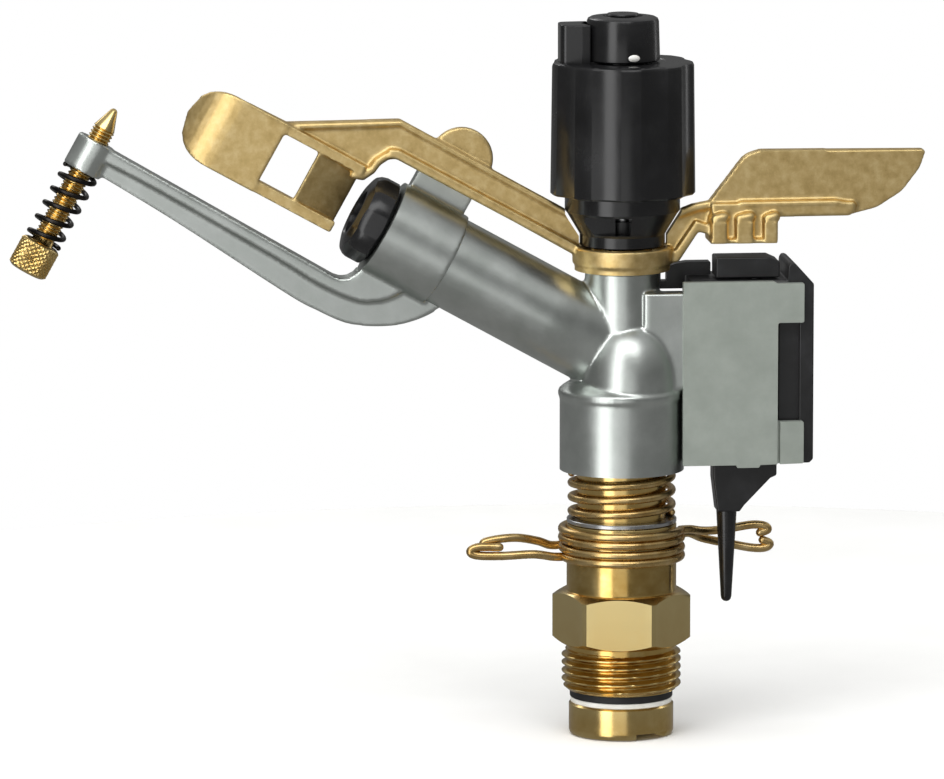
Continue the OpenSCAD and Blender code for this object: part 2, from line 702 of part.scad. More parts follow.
module cover_screws() {
    color("silver") for (p = cover_holes) translate([p[0], unit_front + cover_t + run_clear, p[1]])
        rotate([-90, 0, 0]) cylinder(h = 6, d = cover_hole_d);
}

module mounting_screws() {
    color("silver") for (z = mount_rows) translate([housing_x0, 0, z]) rotate([0, 90, 0]) {
        translate([0, 0, -6.5]) cylinder(h = 6.5 + housing_wall, d = mount_hole_d);
        translate([0, 0, housing_wall]) cylinder(h = 1.8, d = mount_hole_d * 1.9);
    }
}

module trip_shaft() {
    color("lightgray") translate([shaft_x, 0, lever_z0 + 0.6])
        cylinder(h = pawl_z1 - 0.6 - lever_z0 - 0.6, d = shaft_d);
}

module trip_lever() {
    gusset_z = lever_z0 - 7.4;
    tip_r = 1.2;
    color("#1b1b1b") difference() {
        union() {
            slab(-3, 3) polygon([[unit_x + 7.6, lever_z1], [cover_x1 + 0.7, lever_z1],
                                 [cover_x1 + 0.7, lever_z0], [finger_x + 2.6, gusset_z],
                                 [finger_x - 2.4, gusset_z], [unit_x + 7.6, lever_z0]]);
            translate([finger_x, 0, lever_z0 - finger_len + tip_r])
                cylinder(h = finger_len - tip_r + sliver, d1 = 2 * tip_r, d2 = finger_d);
            translate([finger_x, 0, lever_z0 - finger_len + tip_r]) sphere(tip_r, $fn = 24);
        }
        translate([shaft_x, 0, lever_z0 + 0.6]) cylinder(h = lever_t, d = shaft_d);
    }
}

module reversing_lever() {
    color("#161616") difference() {
        slab(-5.4, 2.4) polygon([[unit_x + 6.9, pawl_z0], [shaft_x + 4.2, pawl_z0],
                                 [shaft_x + 4.2, pawl_z1 - 1.4], [shaft_x + 2.6, pawl_z1],
                                 [unit_x + 6.9, pawl_z1]]);
        translate([shaft_x, 0, pawl_z0 - 1]) cylinder(h = pawl_h + 1 - 0.6, d = shaft_d);
    }
}

// Crank on the trip shaft that the over-centre spring pulls on
module toggle_crank() {
    color("silver") difference() {
        union() {
            translate([shaft_x, 0, crank_z]) cylinder(h = 2, d = shaft_d + 3);
            translate([shaft_x - 6, -1.2, crank_z]) cube([6, 2.4, 2]);
            translate([shaft_x - 5, 0, crank_z - 2]) cylinder(h = 4, d = 1.4);
        }
        translate([shaft_x, 0, crank_z - 3]) cylinder(h = 6, d = shaft_d);
    }
}

module toggle_post() {
    color("silver") translate([housing_x0 + housing_wall, 0, crank_z - 1]) rotate([0, 90, 0])
        cylinder(h = 1.6, d = 1.6);
}

module toggle_spring() {
    from_x = housing_x0 + housing_wall + 1.6;
    color("dimgray") translate([from_x, 0, crank_z - 1.2]) rotate([0, 90, 0])
        coil(5, 1.2, 0.25, shaft_x - 5.9 - from_x, 10);
}

inlet_nipple();
bearing_tube();
lower_thrust_washer();
lower_seal_washer();
spring_seat_washer();
bearing_spring();
trip_collar_left();
trip_collar_right();
body_casting();
breaker_bracket();
nozzle();
nozzle_o_ring();
flow_straightener();
breaker_screw();
breaker_spring();
hammer_arm();
arm_bush();
arm_washer();
pivot_pin();
arm_spring();
spring_cap();
spring_seat();
tension_knob();
knob_clip();
reversing_housing();
housing_cover();
cover_screws();
mounting_screws();
trip_shaft();
trip_lever();
reversing_lever();
toggle_crank();
toggle_spring();
toggle_post();
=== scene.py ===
import json
from math import acos, atan2, cos, degrees, hypot, pi, radians, sin, tan

import bmesh
import bpy
from mathutils import Matrix, Vector

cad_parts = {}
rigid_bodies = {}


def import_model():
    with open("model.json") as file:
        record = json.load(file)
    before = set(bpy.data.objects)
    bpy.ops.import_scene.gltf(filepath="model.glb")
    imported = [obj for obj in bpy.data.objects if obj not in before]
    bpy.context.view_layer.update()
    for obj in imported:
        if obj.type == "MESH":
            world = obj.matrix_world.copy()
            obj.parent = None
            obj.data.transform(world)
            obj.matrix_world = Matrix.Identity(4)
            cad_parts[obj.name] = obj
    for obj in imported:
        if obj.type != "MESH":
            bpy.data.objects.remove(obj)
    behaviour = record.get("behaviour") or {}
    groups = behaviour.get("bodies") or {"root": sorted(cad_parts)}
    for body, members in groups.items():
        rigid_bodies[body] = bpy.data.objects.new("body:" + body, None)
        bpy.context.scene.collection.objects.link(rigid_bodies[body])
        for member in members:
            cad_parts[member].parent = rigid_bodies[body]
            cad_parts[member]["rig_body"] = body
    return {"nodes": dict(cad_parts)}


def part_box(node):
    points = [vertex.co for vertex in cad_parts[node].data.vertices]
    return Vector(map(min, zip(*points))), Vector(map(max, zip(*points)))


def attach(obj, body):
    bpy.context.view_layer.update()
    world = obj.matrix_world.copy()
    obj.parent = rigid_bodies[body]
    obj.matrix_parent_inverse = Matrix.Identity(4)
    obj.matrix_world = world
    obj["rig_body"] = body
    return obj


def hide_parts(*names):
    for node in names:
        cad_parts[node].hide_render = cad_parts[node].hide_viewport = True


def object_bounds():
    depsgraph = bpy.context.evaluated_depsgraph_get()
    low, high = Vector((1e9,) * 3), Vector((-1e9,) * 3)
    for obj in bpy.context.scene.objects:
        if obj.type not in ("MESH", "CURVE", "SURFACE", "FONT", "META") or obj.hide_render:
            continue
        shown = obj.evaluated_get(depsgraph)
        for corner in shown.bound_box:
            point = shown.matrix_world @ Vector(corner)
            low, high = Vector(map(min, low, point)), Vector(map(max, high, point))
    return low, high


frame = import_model()
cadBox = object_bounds()
mm = 0.001  # shapes are drawn in millimetres and scaled to Blender's metres when they are placed


def boxOf(node):
    low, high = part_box(node)
    return low / mm, high / mm


# Heights and reaches that the pieces share, read from the frame
threadEnd = boxOf("inlet_nipple")[0].z
neckTop = boxOf("inlet_nipple")[1].z
footEnd = boxOf("bearing_tube")[0].z
tubeTop = boxOf("bearing_tube")[1].z
seatTop = boxOf("spring_seat_washer")[1].z
socketFoot = boxOf("body_casting")[0].z
postTop = boxOf("arm_washer")[0].z
hubFoot = boxOf("hammer_arm")[0].z
capFoot = boxOf("spring_cap")[0].z
knobTop = boxOf("tension_knob")[1].z
coverLow, coverHigh = boxOf("housing_cover")
unitLow, unitHigh = boxOf("reversing_housing")
paddleEnd = boxOf("hammer_arm")[1].x

barrel = dict(
    tilt=29.0,  # degrees above level
    axisHeight=socketFoot + 25.5,  # where its axis crosses the riser's
    length=60.6,
    diameter=20.0,
    bore=14.4,
    rootLength=20.0,  # over this length its depth grows from rootDepth to the full round
    rootDepth=0.74,
)
tiltCos, tiltSin = cos(radians(barrel["tilt"])), sin(radians(barrel["tilt"]))


def upright(x, z, y=0.0):
    return Vector((x, y, z))


def alongBarrel(out, up, y=0.0):  # out along the barrel, and up across it
    return Vector((up * tiltSin - out * tiltCos, y, barrel["axisHeight"] + out * tiltSin + up * tiltCos))


# Turns something made about Z so that its Z runs out along the barrel and its X across it
onBarrel = Matrix(((tiltSin, 0, -tiltCos, 0), (0, 1, 0, 0), (tiltCos, 0, tiltSin, barrel["axisHeight"]), (0, 0, 0, 1)))


# Mesh tools
def newObject(name, verts, faces):
    mesh = bpy.data.meshes.new(name)
    mesh.from_pydata([tuple(v) for v in verts], [], faces)
    made = bpy.data.objects.new(name, mesh)
    bpy.context.scene.collection.objects.link(made)
    weld(made)
    return made


def weld(obj, gap=1e-4):  # merges points that meet and turns every face outwards
    work = bmesh.new()
    work.from_mesh(obj.data)
    bmesh.ops.remove_doubles(work, verts=work.verts, dist=gap)
    bmesh.ops.dissolve_degenerate(work, edges=work.edges, dist=gap)
    bmesh.ops.recalc_face_normals(work, faces=work.faces)
    work.to_mesh(obj.data)
    work.free()


def modify(obj, kind, **settings):  # adds a modifier and makes its result the mesh
    added = obj.modifiers.new(kind, kind)
    for name, value in settings.items():
        setattr(added, name, value)
    bpy.context.view_layer.update()
    result = bpy.data.meshes.new_from_object(obj.evaluated_get(bpy.context.evaluated_depsgraph_get()))
    old = obj.data
    obj.modifiers.clear()
    obj.data = result
    bpy.data.meshes.remove(old)


def join(name, parts):
    verts, faces = [], []
    for part in parts:
        first = len(verts)
        verts += [v.co.copy() for v in part.data.vertices]
        faces += [[first + i for i in face.vertices] for face in part.data.polygons]
        bpy.data.objects.remove(part)
    return newObject(name, verts, faces)


def cut(obj, *tools):
    for tool in tools:
        modify(obj, "BOOLEAN", operation="DIFFERENCE", solver="EXACT", object=tool)
        bpy.data.objects.remove(tool)


def castSolid(name, shells, grain, rounding):  # melts overlapping shells together with soft fillets
    solid = join(name, shells)
    modify(solid, "REMESH", mode="VOXEL", voxel_size=grain)
    modify(solid, "SMOOTH", factor=0.5, iterations=rounding)
    return solid


def gridFaces(rows, columns, wrapRows, wrapColumns):
    return [(i * columns + j, i * columns + (j + 1) % columns,
             (i + 1) % rows * columns + (j + 1) % columns, (i + 1) % rows * columns + j)
            for i in range(rows if wrapRows else rows - 1)
            for j in range(columns if wrapColumns else columns - 1)]


def revolve(name, profile, angles=96, closed=False, place=None):
    # The profile is (radius, height) pairs, or a function of the angle that gives them
    if isinstance(angles, int):
        angles = [360 * i / angles for i in range(angles)]
    rings = [profile(a) if callable(profile) else profile for a in angles]
    verts = [Vector((ring[i][0] * cos(radians(a)), ring[i][0] * sin(radians(a)), ring[i][1]))
             for i in range(len(rings[0])) for a, ring in zip(angles, rings)]
    if place:
        verts = [place @ v for v in verts]
    return newObject(name, verts, gridFaces(len(rings[0]), len(angles), closed, True))


def rod(name, radius, low, high, sides, place=None):
    return revolve(name, [(0, low), (radius, low), (radius, high), (0, high)], sides, place=place)


def slab(name, outline, front, back, at=upright):
    count = len(outline)
    verts = [at(a, b, y) for y in (front, back) for a, b in outline]
    sides = [(i, (i + 1) % count, count + (i + 1) % count, count + i) for i in range(count)]
    return newObject(name, verts, [tuple(range(count)), tuple(range(2 * count - 1, count - 1, -1))] + sides)


def block(name, low, high, at=upright):
    return slab(name, [(low[0], low[2]), (high[0], low[2]), (high[0], high[2]), (low[0], high[2])],
                low[1], high[1], at)


def rounded(corners, steps=5):  # each (a, b, radius) becomes an arc that touches both its edges
    points = []
    for i, (a, b, radius) in enumerate(corners):
        corner = Vector((a, b))
        before = Vector(corners[i - 1][:2]) - corner
        after = Vector(corners[(i + 1) % len(corners)][:2]) - corner
        half = before.angle(after) / 2
        run = min(radius / tan(half), 0.49 * before.length, 0.49 * after.length)
        if radius == 0 or half > radians(89):
            points.append((a, b))
            continue
        start, end = before.normalized() * run, after.normalized() * run
        centre = (start + end).normalized() * hypot(run, run * tan(half))
        first = atan2(start.y - centre.y, start.x - centre.x)
        turn = (atan2(end.y - centre.y, end.x - centre.x) - first + pi) % (2 * pi) - pi
        for k in range(steps + 1):
            angle = first + turn * k / steps
            points.append(tuple(corner + centre + run * tan(half) * Vector((cos(angle), sin(angle)))))
    return points


def spline(points, steps=8):  # smooth path through a list of points
    path = []
    for i in range(len(points) - 1):
        a, b = Vector(points[max(i - 1, 0)]), Vector(points[i])
        c, d = Vector(points[i + 1]), Vector(points[min(i + 2, len(points) - 1)])
        for k in range(steps):
            t = k / steps
            path.append(0.5 * (2 * b + (c - a) * t + (2 * a - 5 * b + 4 * c - d) * t ** 2
                               + (3 * b - a - 3 * c + d) * t ** 3))
    return path + [Vector(points[-1])]


def sweep(name, path, radius, sides=14, place=None, domed=True):  # round wire along a path
    path = [Vector(p) for p in path]
    runs = [(path[min(i + 1, len(path) - 1)] - path[max(i - 1, 0)]).normalized() for i in range(len(path))]
    across = runs[0].orthogonal().normalized()
    stations = []
    for i, (point, run) in enumerate(zip(path, runs)):
        if i:
            across = runs[i - 1].rotation_difference(run) @ across
        stations.append((point, run, across.copy(), 1.0))
    if domed:
        heads = [(path[0] - runs[0] * radius * sin(a), runs[0], stations[0][2], cos(a))
                 for a in (pi / 2, pi / 3, pi / 6)]
        tails = [(path[-1] + runs[-1] * radius * sin(a), runs[-1], stations[-1][2], cos(a))
                 for a in (pi / 6, pi / 3, pi / 2)]
        stations = heads + stations + tails
    verts = []
    for point, run, side, scale in stations:
        other = run.cross(side)
        for k in range(sides):
            a = 2 * pi * k / sides
            verts.append(point + radius * scale * (cos(a) * side + sin(a) * other))
    if place:
        verts = [place @ v for v in verts]
    return newObject(name, verts, gridFaces(len(stations), sides, False, True))


def helix(turns, radius, low, high, start=0.0, steps=36, flatTurns=0.0):
    # Climbs evenly apart from the flat turns at its ends
    count = int(turns * steps)
    climb = turns - 2 * flatTurns
    points = []
    for i in range(count + 1):
        turn = turns * i / count
        rise = min(max((turn - flatTurns) / climb, 0), 1)
        angle = radians(start) + 2 * pi * turn
        points.append(Vector((radius * cos(angle), radius * sin(angle), low + (high - low) * rise)))
    return points


def ringProfile(inner, outer, low, high, edge=0.25):  # washer with eased edges
    return [(inner + edge, low), (outer - edge, low), (outer, low + edge), (outer, high - edge),
            (outer - edge, high), (inner + edge, high), (inner, high - edge), (inner, low + edge)]


def place(obj, body, finish, slot, *nodes, bevel=0.0, smooth=35, segments=2):
    if bevel:
        modify(obj, "BEVEL", width=bevel, segments=segments, limit_method="ANGLE", angle_limit=radians(28),
               miter_outer="MITER_ARC")
    obj.data.transform(Matrix.Scale(mm, 4))
    obj.data.shade_smooth()
    obj.data.set_sharp_from_angle(angle=radians(smooth))
    if bevel:  # keeps the flat faces flat beside their rounded edges
        modify(obj, "WEIGHTED_NORMAL", keep_sharp=True)
    obj.data.materials.clear()
    obj.data.materials.append(finish)
    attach(obj, body)
    if nodes:
        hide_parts(*nodes)
    return obj


# Materials
def colour(code):  # sRGB hex to Blender's linear colour
    parts = [int(code[i:i + 2], 16) / 255 for i in (1, 3, 5)]
    return tuple(p / 12.92 if p <= 0.04045 else ((p + 0.055) / 1.055) ** 2.4 for p in parts) + (1.0,)


def addNode(tree, kind, inputs=None, **settings):
    made = tree.nodes.new("ShaderNode" + kind)
    for name, value in settings.items():
        setattr(made, name, value)
    for name, value in (inputs or {}).items():
        if isinstance(value, bpy.types.NodeSocket):
            tree.links.new(value, made.inputs[name])
        else:
            made.inputs[name].default_value = value
    return made


def perMillimetre(size):  # texture scale that gives features of this size
    return 1 / (size * mm)


def surface(name, base, dark, light, metal=0.0, rough=0.4, roughSpread=0.1, patch=6.0, grain=0.5, grainDepth=0.02,
            wave=0.0, waveDepth=0.0, rings=0.0, ringDepth=0.0, edge=None, ior=None, coat=0.0):
    # base varies to dark and light in patches; grain, wave and rings are bump sizes in millimetres; edge is a lighter
    # colour painted onto convex edges, a painted highlight along the rims mixed with some rubbed wear
    material = bpy.data.materials.new(name)
    material.use_nodes = True
    tree = material.node_tree
    shader = tree.nodes["Principled BSDF"]
    shader.inputs["Metallic"].default_value = metal
    if ior:
        shader.inputs["IOR"].default_value = ior
    shader.inputs["Coat Weight"].default_value = coat
    shader.inputs["Coat Roughness"].default_value = 0.08
    where = addNode(tree, "TexCoord").outputs["Object"]
    blotch = addNode(tree, "TexNoise", {"Vector": where, "Scale": perMillimetre(patch), "Detail": 5.0,
                                        "Roughness": 0.6})
    tone = addNode(tree, "ValToRGB", {"Fac": blotch.outputs["Fac"]})
    ramp = tone.color_ramp.elements
    ramp[0].position, ramp[0].color = 0.3, colour(dark)
    ramp[1].position, ramp[1].color = 0.7, colour(light)
    middle = ramp.new(0.5)
    middle.color = colour(base)
    tint = tone.outputs["Color"]
    if edge:  # convex edges painted lighter: a painted highlight along the rims, with some rubbed wear
        rimSheenAndWear = addNode(tree, "MapRange", {"Value": addNode(tree, "NewGeometry").outputs["Pointiness"],
                                          "From Min": 0.51, "From Max": 0.58})
        tint = addNode(tree, "Mix", {"Factor": rimSheenAndWear.outputs["Result"], "A": tint, "B": colour(edge)},
                       data_type="RGBA").outputs["Result"]
    fine = addNode(tree, "TexNoise", {"Vector": where, "Scale": perMillimetre(grain), "Detail": 3.0})
    roughness = addNode(tree, "MapRange", {"Value": blotch.outputs["Fac"], "From Min": 0.3, "From Max": 0.7,
                                           "To Min": rough - roughSpread / 2, "To Max": rough + roughSpread / 2})
    tree.links.new(tint, shader.inputs["Base Color"])
    tree.links.new(roughness.outputs["Result"], shader.inputs["Roughness"])
    bump = addNode(tree, "Bump", {"Height": fine.outputs["Fac"], "Distance": grainDepth * mm, "Strength": 1.0})
    if wave:
        swell = addNode(tree, "TexNoise", {"Vector": where, "Scale": perMillimetre(wave), "Detail": 1.0})
        bump = addNode(tree, "Bump", {"Height": swell.outputs["Fac"], "Distance": waveDepth * mm,
                                      "Strength": 1.0, "Normal": bump.outputs["Normal"]})
    if rings:
        turned = addNode(tree, "TexWave", {"Vector": where, "Scale": perMillimetre(rings) / 20, "Distortion": 0.4,
                                           "Detail": 2.0, "Detail Scale": 1.0},
                         wave_type="BANDS", bands_direction="Z", wave_profile="SIN")
        bump = addNode(tree, "Bump", {"Height": turned.outputs["Fac"], "Distance": ringDepth * mm,
                                      "Strength": 1.0, "Normal": bump.outputs["Normal"]})
    tree.links.new(bump.outputs["Normal"], shader.inputs["Normal"])
    return material


finishes = dict(
    # die-cast aluminium, tumbled: satin, soft wide highlights over a fine even grain
    castAluminium=surface("castAluminium", "#C3C8C4", "#BBC1BC", "#CCD1CD", metal=1.0, rough=0.34, roughSpread=0.06,
                          patch=7, grain=0.45, grainDepth=0.010, wave=6, waveDepth=0.035),
    # turned brass bar: bright, with fine lathe rings, drawn at twice their pitch so that they show; its edges carry a
    # painted highlight, with some rubbed wear
    turnedBrass=surface("turnedBrass", "#D4B26C", "#C49F57", "#E2C687", metal=1.0, rough=0.20, roughSpread=0.10,
                        patch=6, grain=0.35, grainDepth=0.005, rings=0.7, ringDepth=0.004, edge="#E3CD92"),
    # die-cast brass, tumbled: matte and grainy; its edges are painted brighter, a painted highlight with some rubbed
    # wear
    castBrass=surface("castBrass", "#DCC084", "#CDB073", "#E8D098", metal=1.0, rough=0.44, roughSpread=0.10,
                      patch=2.2, grain=0.4, grainDepth=0.020, wave=3, waveDepth=0.02, edge="#E6D096"),
    # drawn brass wire: smooth, slightly dulled
    brassWire=surface("brassWire", "#CDAE74", "#B8955A", "#DCC28E", metal=1.0, rough=0.27, roughSpread=0.08,
                      patch=4, grain=0.4, grainDepth=0.005),
    # moulded black ABS: glossy, with the faint swell of a moulding
    glossyAbs=surface("glossyAbs", "#111112", "#0D0D0E", "#171718", rough=0.24, roughSpread=0.08, patch=8, grain=0.6,
                      grainDepth=0.004, wave=6, waveDepth=0.03, ior=1.53),
    # glass-filled black nylon: satin, fine moulded grain
    blackNylon=surface("blackNylon", "#161617", "#101011", "#202022", rough=0.38, roughSpread=0.14, patch=6,
                       grain=0.5, grainDepth=0.012, ior=1.53),
    # die-cast zinc plate with a grey-green chromate: flat satin with faint cloudy patches
    chromatedZinc=surface("chromatedZinc", "#A5ACA4", "#9EA59D", "#ADB4AC", metal=0.6, rough=0.46, roughSpread=0.06,
                          patch=6, grain=0.5, grainDepth=0.008),
    # PTFE: waxy white
    ptfe=surface("ptfe", "#E9E8E2", "#DDDBD2", "#F2F1EC", rough=0.4, patch=5, grain=0.6, grainDepth=0.008, ior=1.38),
    # nitrile rubber: soft black, nearly no shine
    rubber=surface("rubber", "#1B1B1C", "#141415", "#262627", rough=0.62, patch=4, grain=0.4, grainDepth=0.015,
                   ior=1.52),
    # stainless steel, turned or stamped
    stainless=surface("stainless", "#B9BABA", "#A3A4A5", "#CBCCCC", metal=1.0, rough=0.28, patch=5, grain=0.4,
                      grainDepth=0.006),
    # oil-blackened spring steel
    springSteel=surface("springSteel", "#2E2C2B", "#1E1C1B", "#423E3B", metal=1.0, rough=0.32, patch=4, grain=0.4,
                        grainDepth=0.008),
    # fired white paint in the index mark
    whitePaint=surface("whitePaint", "#E4E2DC", "#D4D0C8", "#F2F1ED", rough=0.45, patch=2, grain=0.4, ior=1.5),
)

# Inlet nipple
nipple = dict(crest=26.44, pitch=1.81, depth=1.16, acrossFlats=27.0, hexHeight=11.8, hexTurn=51, neck=24.3, bore=19.7)


def hexAngles(turn, across, corner, steps=14):  # even steps over each flat, with its corners picked out
    half = degrees(acos(across / corner))
    return [turn + 60 * k + 30 + a for k in range(6)
            for a in [half * (2 * i / steps - 1) for i in range(steps + 1)] + [30]]


def hexRadius(angle, turn, across, corner):
    return min(across / cos(radians((angle - turn) % 60 - 30)), corner)


def nippleProfile(angle):
    across, root = nipple["acrossFlats"] / 2, nipple["crest"] / 2 - nipple["depth"]
    corner = hexRadius(angle, nipple["hexTurn"], across, across / cos(pi / 6) - 0.3)
    chamfer = (corner - across + 0.4) * tan(radians(30))
    neck, bore, top = nipple["neck"] / 2, nipple["bore"] / 2, nipple["hexHeight"]
    rows = [(bore + 0.4, threadEnd)]
    count = 84
    for i in range(count + 1):
        z = threadEnd + (-0.2 - threadEnd) * i / count
        phase = (z / nipple["pitch"] - angle / 360) % 1
        ridge = min(max((abs(2 * phase - 1) - 0.12) / 0.72, 0), 1)
        radius = root + nipple["depth"] * ridge
        radius = min(radius, root - 0.1 + 1.2 * (z - threadEnd), root + max(0, -1.2 - z) * 1.5)
        rows.append((radius, z))
    rows += [(across - 0.4, -0.02), (across - 0.4, 0), (corner, chamfer), (corner, top - chamfer),
             (across - 0.4, top), (neck + 0.5, top), (neck + 0.12, top + 0.15), (neck, top + 0.5),
             (neck, neckTop - 0.5), (neck - 0.15, neckTop - 0.15), (neck - 0.5, neckTop),
             (bore + 0.3, neckTop), (bore, neckTop - 0.3), (bore, threadEnd + 0.4)]
    return rows


across = nipple["acrossFlats"] / 2
brassNipple = revolve("brassNipple", nippleProfile,
                      hexAngles(nipple["hexTurn"], across, across / cos(pi / 6) - 0.3), closed=True)
place(brassNipple, "inlet", finishes["turnedBrass"], "turned_brass", "inlet_nipple", smooth=28)
print("inlet nipple done")

# Bearing tube with its notched foot
tube = dict(outer=19.6, bore=15.0, foot=23.2, footHeight=7.2, notchWidth=8.6, notchDepth=1.5, notchTurn=122)
footTop = footEnd + tube["footHeight"]
notchTop = footEnd + tube["notchDepth"]
footRadius, tubeRadius, boreRadius = tube["foot"] / 2, tube["outer"] / 2, tube["bore"] / 2
bearingTube = revolve("bearingTube", [
    (boreRadius + 0.5, footEnd), (footRadius - 0.9, footEnd), (footRadius - 0.25, footEnd + 0.3),
    (footRadius, footEnd + 0.9), (footRadius, notchTop + 0.1), (footRadius, notchTop + 0.6),
    (footRadius, footTop - 0.4), (footRadius - 0.4, footTop), (tubeRadius + 0.1, footTop),
    (tubeRadius, footTop + 0.1), (tubeRadius, tubeTop - 0.4), (tubeRadius - 0.4, tubeTop),
    (boreRadius + 0.3, tubeTop), (boreRadius, tubeTop - 0.3), (boreRadius, footEnd + 0.5)], 128, closed=True)
for turn in (tube["notchTurn"], tube["notchTurn"] + 180):
    notch = block("notch", (boreRadius - 1, -tube["notchWidth"] / 2, footEnd - 1),
                  (tube["foot"], tube["notchWidth"] / 2, notchTop))
    notch.data.transform(Matrix.Rotation(radians(turn), 4, "Z"))
    cut(bearingTube, notch)
place(bearingTube, "head", finishes["turnedBrass"], "turned_brass", "bearing_tube", smooth=28)

# Washers
washers = dict(lower_thrust_washer=("ptfe", "thrust_washer"), lower_seal_washer=("rubber", "rubber"),
               spring_seat_washer=("stainless", "steel"), arm_washer=("ptfe", "thrust_washer"))
tubeClear, pinClear = tubeRadius + 0.05, 3.05  # bores that run on the tube and on the pivot pin
washerBores = dict(lower_thrust_washer=tubeClear, lower_seal_washer=tubeClear, spring_seat_washer=tubeClear,
                   arm_washer=pinClear)
for node, (finish, slot) in washers.items():
    low, high = boxOf(node)
    washer = revolve(node.replace("_", ""), ringProfile(washerBores[node], high.x, low.z, high.z, 0.15), 112,
                     closed=True)
    place(washer, frame["nodes"][node]["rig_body"], finishes[finish], slot, node)

# Bearing spring
bearingSpring = dict(wire=1.7, outer=24.0, turns=3.5)
wireRadius = bearingSpring["wire"] / 2
coil = sweep("bearingCoil", helix(bearingSpring["turns"], bearingSpring["outer"] / 2 - wireRadius,
                                  seatTop + wireRadius, socketFoot - wireRadius, steps=48, flatTurns=0.3),
             wireRadius, sides=18)
place(coil, "head", finishes["brassWire"], "brass_wire", "bearing_spring")

# Trip collars
tripCollar = dict(wire=1.9, ringRadius=13.15, pitch=1.84, crossing=90, below=7.4, step=4.0)
lowRing = neckTop - tripCollar["below"]  # height of the lowest turn's centre
highRing = lowRing + tripCollar["step"]


def tripWire(name, low, side, lower, upper):
    # Two flat turns round the neck that step up at the back; each end runs out through its listed points
    turns, steps, ring = 1.94, 80, []
    step = ((tripCollar["crossing"] - side - 8) % 360) / 360 + (1 if side == 0 else 0)
    for i in range(int(turns * steps) + 1):
        share = min(max((i / steps - step) / 0.16 + 0.5, 0), 1)
        angle = radians(side + 8) + 2 * pi * i / steps
        ring.append(Vector((tripCollar["ringRadius"] * cos(angle), tripCollar["ringRadius"] * sin(angle),
                            low + tripCollar["pitch"] * share ** 2 * (3 - 2 * share))))
    path = spline(list(reversed(lower)) + [ring[0]], 7)[:-1] + ring + spline([ring[-1]] + upper, 7)[1:]
    return sweep(name, path, tripCollar["wire"] / 2, sides=16)


leftWire = tripWire("tripWireLeft", lowRing, 180,
                    [(-15.6, -2.6, lowRing + 0.2), (-20, -3.2, 20.5), (-27, -3.4, 20.3), (-32.5, -3.3, 20.5),
                     (-34.0, -3.2, 21.4), (-32.2, -3.1, 22.3), (-27.5, -3.0, 22.2)],
                    [(-15.6, 2.6, lowRing + 1.9), (-18.5, 1.2, 22.7), (-23, -0.6, 23.8), (-27, -1.4, 23.8),
                     (-30.4, -1.5, 23.2), (-31.0, -1.6, 22.6)])
place(leftWire, "collar_left", finishes["brassWire"], "brass_wire", "trip_collar_left")
rightWire = tripWire("tripWireRight", highRing, 0,
                     [(15.6, 3.4, highRing - 0.1), (19, 5.4, 21.9), (25, 6.4, 20.4), (30, 6.4, 19.4),
                      (33.0, 6.4, 19.4), (34.0, 6.4, 20.3), (32.4, 6.4, 21.1)],
                     [(15.2, -1.0, highRing + 1.5), (18, 1.6, 24.3), (21, 3.8, 23.9), (25, 5.8, 24.0),
                      (30, 6.4, 24.6), (32.8, 6.4, 24.3), (33.5, 6.4, 23.4), (31.8, 6.4, 22.8)])
place(rightWire, "collar_right", finishes["brassWire"], "brass_wire", "trip_collar_right")
print("bearing done")

# Body casting
casting = dict(socket=27.5, socketHeight=18.1, bead=28.2, post=16.4, web=4.0, cheek=4.0, cheekFront=-8.3)
socketTop = socketFoot + casting["socketHeight"]
socketRadius, beadRadius = casting["socket"] / 2, casting["bead"] / 2
dome = dict(radius=10.4, right=1.4, front=-2.9, height=15.6, fullness=2.3)  # bullet between barrel and post
bulge = 2 / dome["fullness"]
domeArc = [(dome["radius"] * cos(a) ** bulge, socketTop + dome["height"] * sin(a) ** bulge)
           for a in [pi / 2 * i / 24 for i in range(24)]]
mouth = barrel["length"]
pipeOuter = barrel["diameter"] / 2
pipeLengths = [1.5 * i for i in range(20)] + [mouth + 2]
pipe = revolve("pipe", [(0, 0)] + [(pipeOuter, s) for s in pipeLengths] + [(0, mouth + 2)], 96, place=onBarrel)
for vertex in pipe.data.vertices:  # the root narrows in depth where it runs in behind the dome
    share = min(max((onBarrel.inverted() @ vertex.co).z / barrel["rootLength"], 0), 1)
    vertex.co.y *= barrel["rootDepth"] + (1 - barrel["rootDepth"]) * share ** 2 * (3 - 2 * share)
castShells = [
    revolve("socket", [(0, socketFoot - 2), (socketRadius, socketFoot - 2), (socketRadius, socketTop - 2.0),
                       (beadRadius, socketTop - 1.6), (beadRadius, socketTop - 0.3),
                       (socketRadius - 0.8, socketTop + 0.6), (socketRadius - 2.4, socketTop + 1.6),
                       (socketRadius - 5, socketTop + 2.2), (0, socketTop + 2.4)], 96),
    revolve("dome", [(0, socketTop - 2), (dome["radius"], socketTop - 2)] + domeArc
            + [(0, socketTop + dome["height"])], 96, place=Matrix.Translation((dome["right"], dome["front"], 0))),
    revolve("post", [(0, socketTop), (casting["post"] / 2 + 0.2, socketTop), (casting["post"] / 2, postTop + 2),
                     (0, postTop + 2)], 96),
    pipe,
    slab("web", [(0, socketTop - 4), (unitLow.x - 0.6, socketTop - 4), (unitLow.x - 0.6, coverHigh.z - 3.2),
                 (0, coverHigh.z - 3.2)], -casting["web"] / 2, casting["web"] / 2),
    block("pad", (unitLow.x - 2, -5.6, socketTop + 0.5), (unitLow.x, 5.6, coverHigh.z - 3.8)),
    block("cheek", (casting["cheek"], casting["cheekFront"], socketTop + 0.5),
          (unitLow.x - 0.1, -4.0, coverHigh.z - 2.4)),
]
body = castSolid("bodyCasting", castShells, 0.4, 7)
mouthHalf = pipeOuter + 3
cut(body, block("footFace", (-20, -20, socketFoot - 8), (20, 20, socketFoot)))
cut(body, block("postFace", (-12, -12, postTop), (12, 12, postTop + 6)))
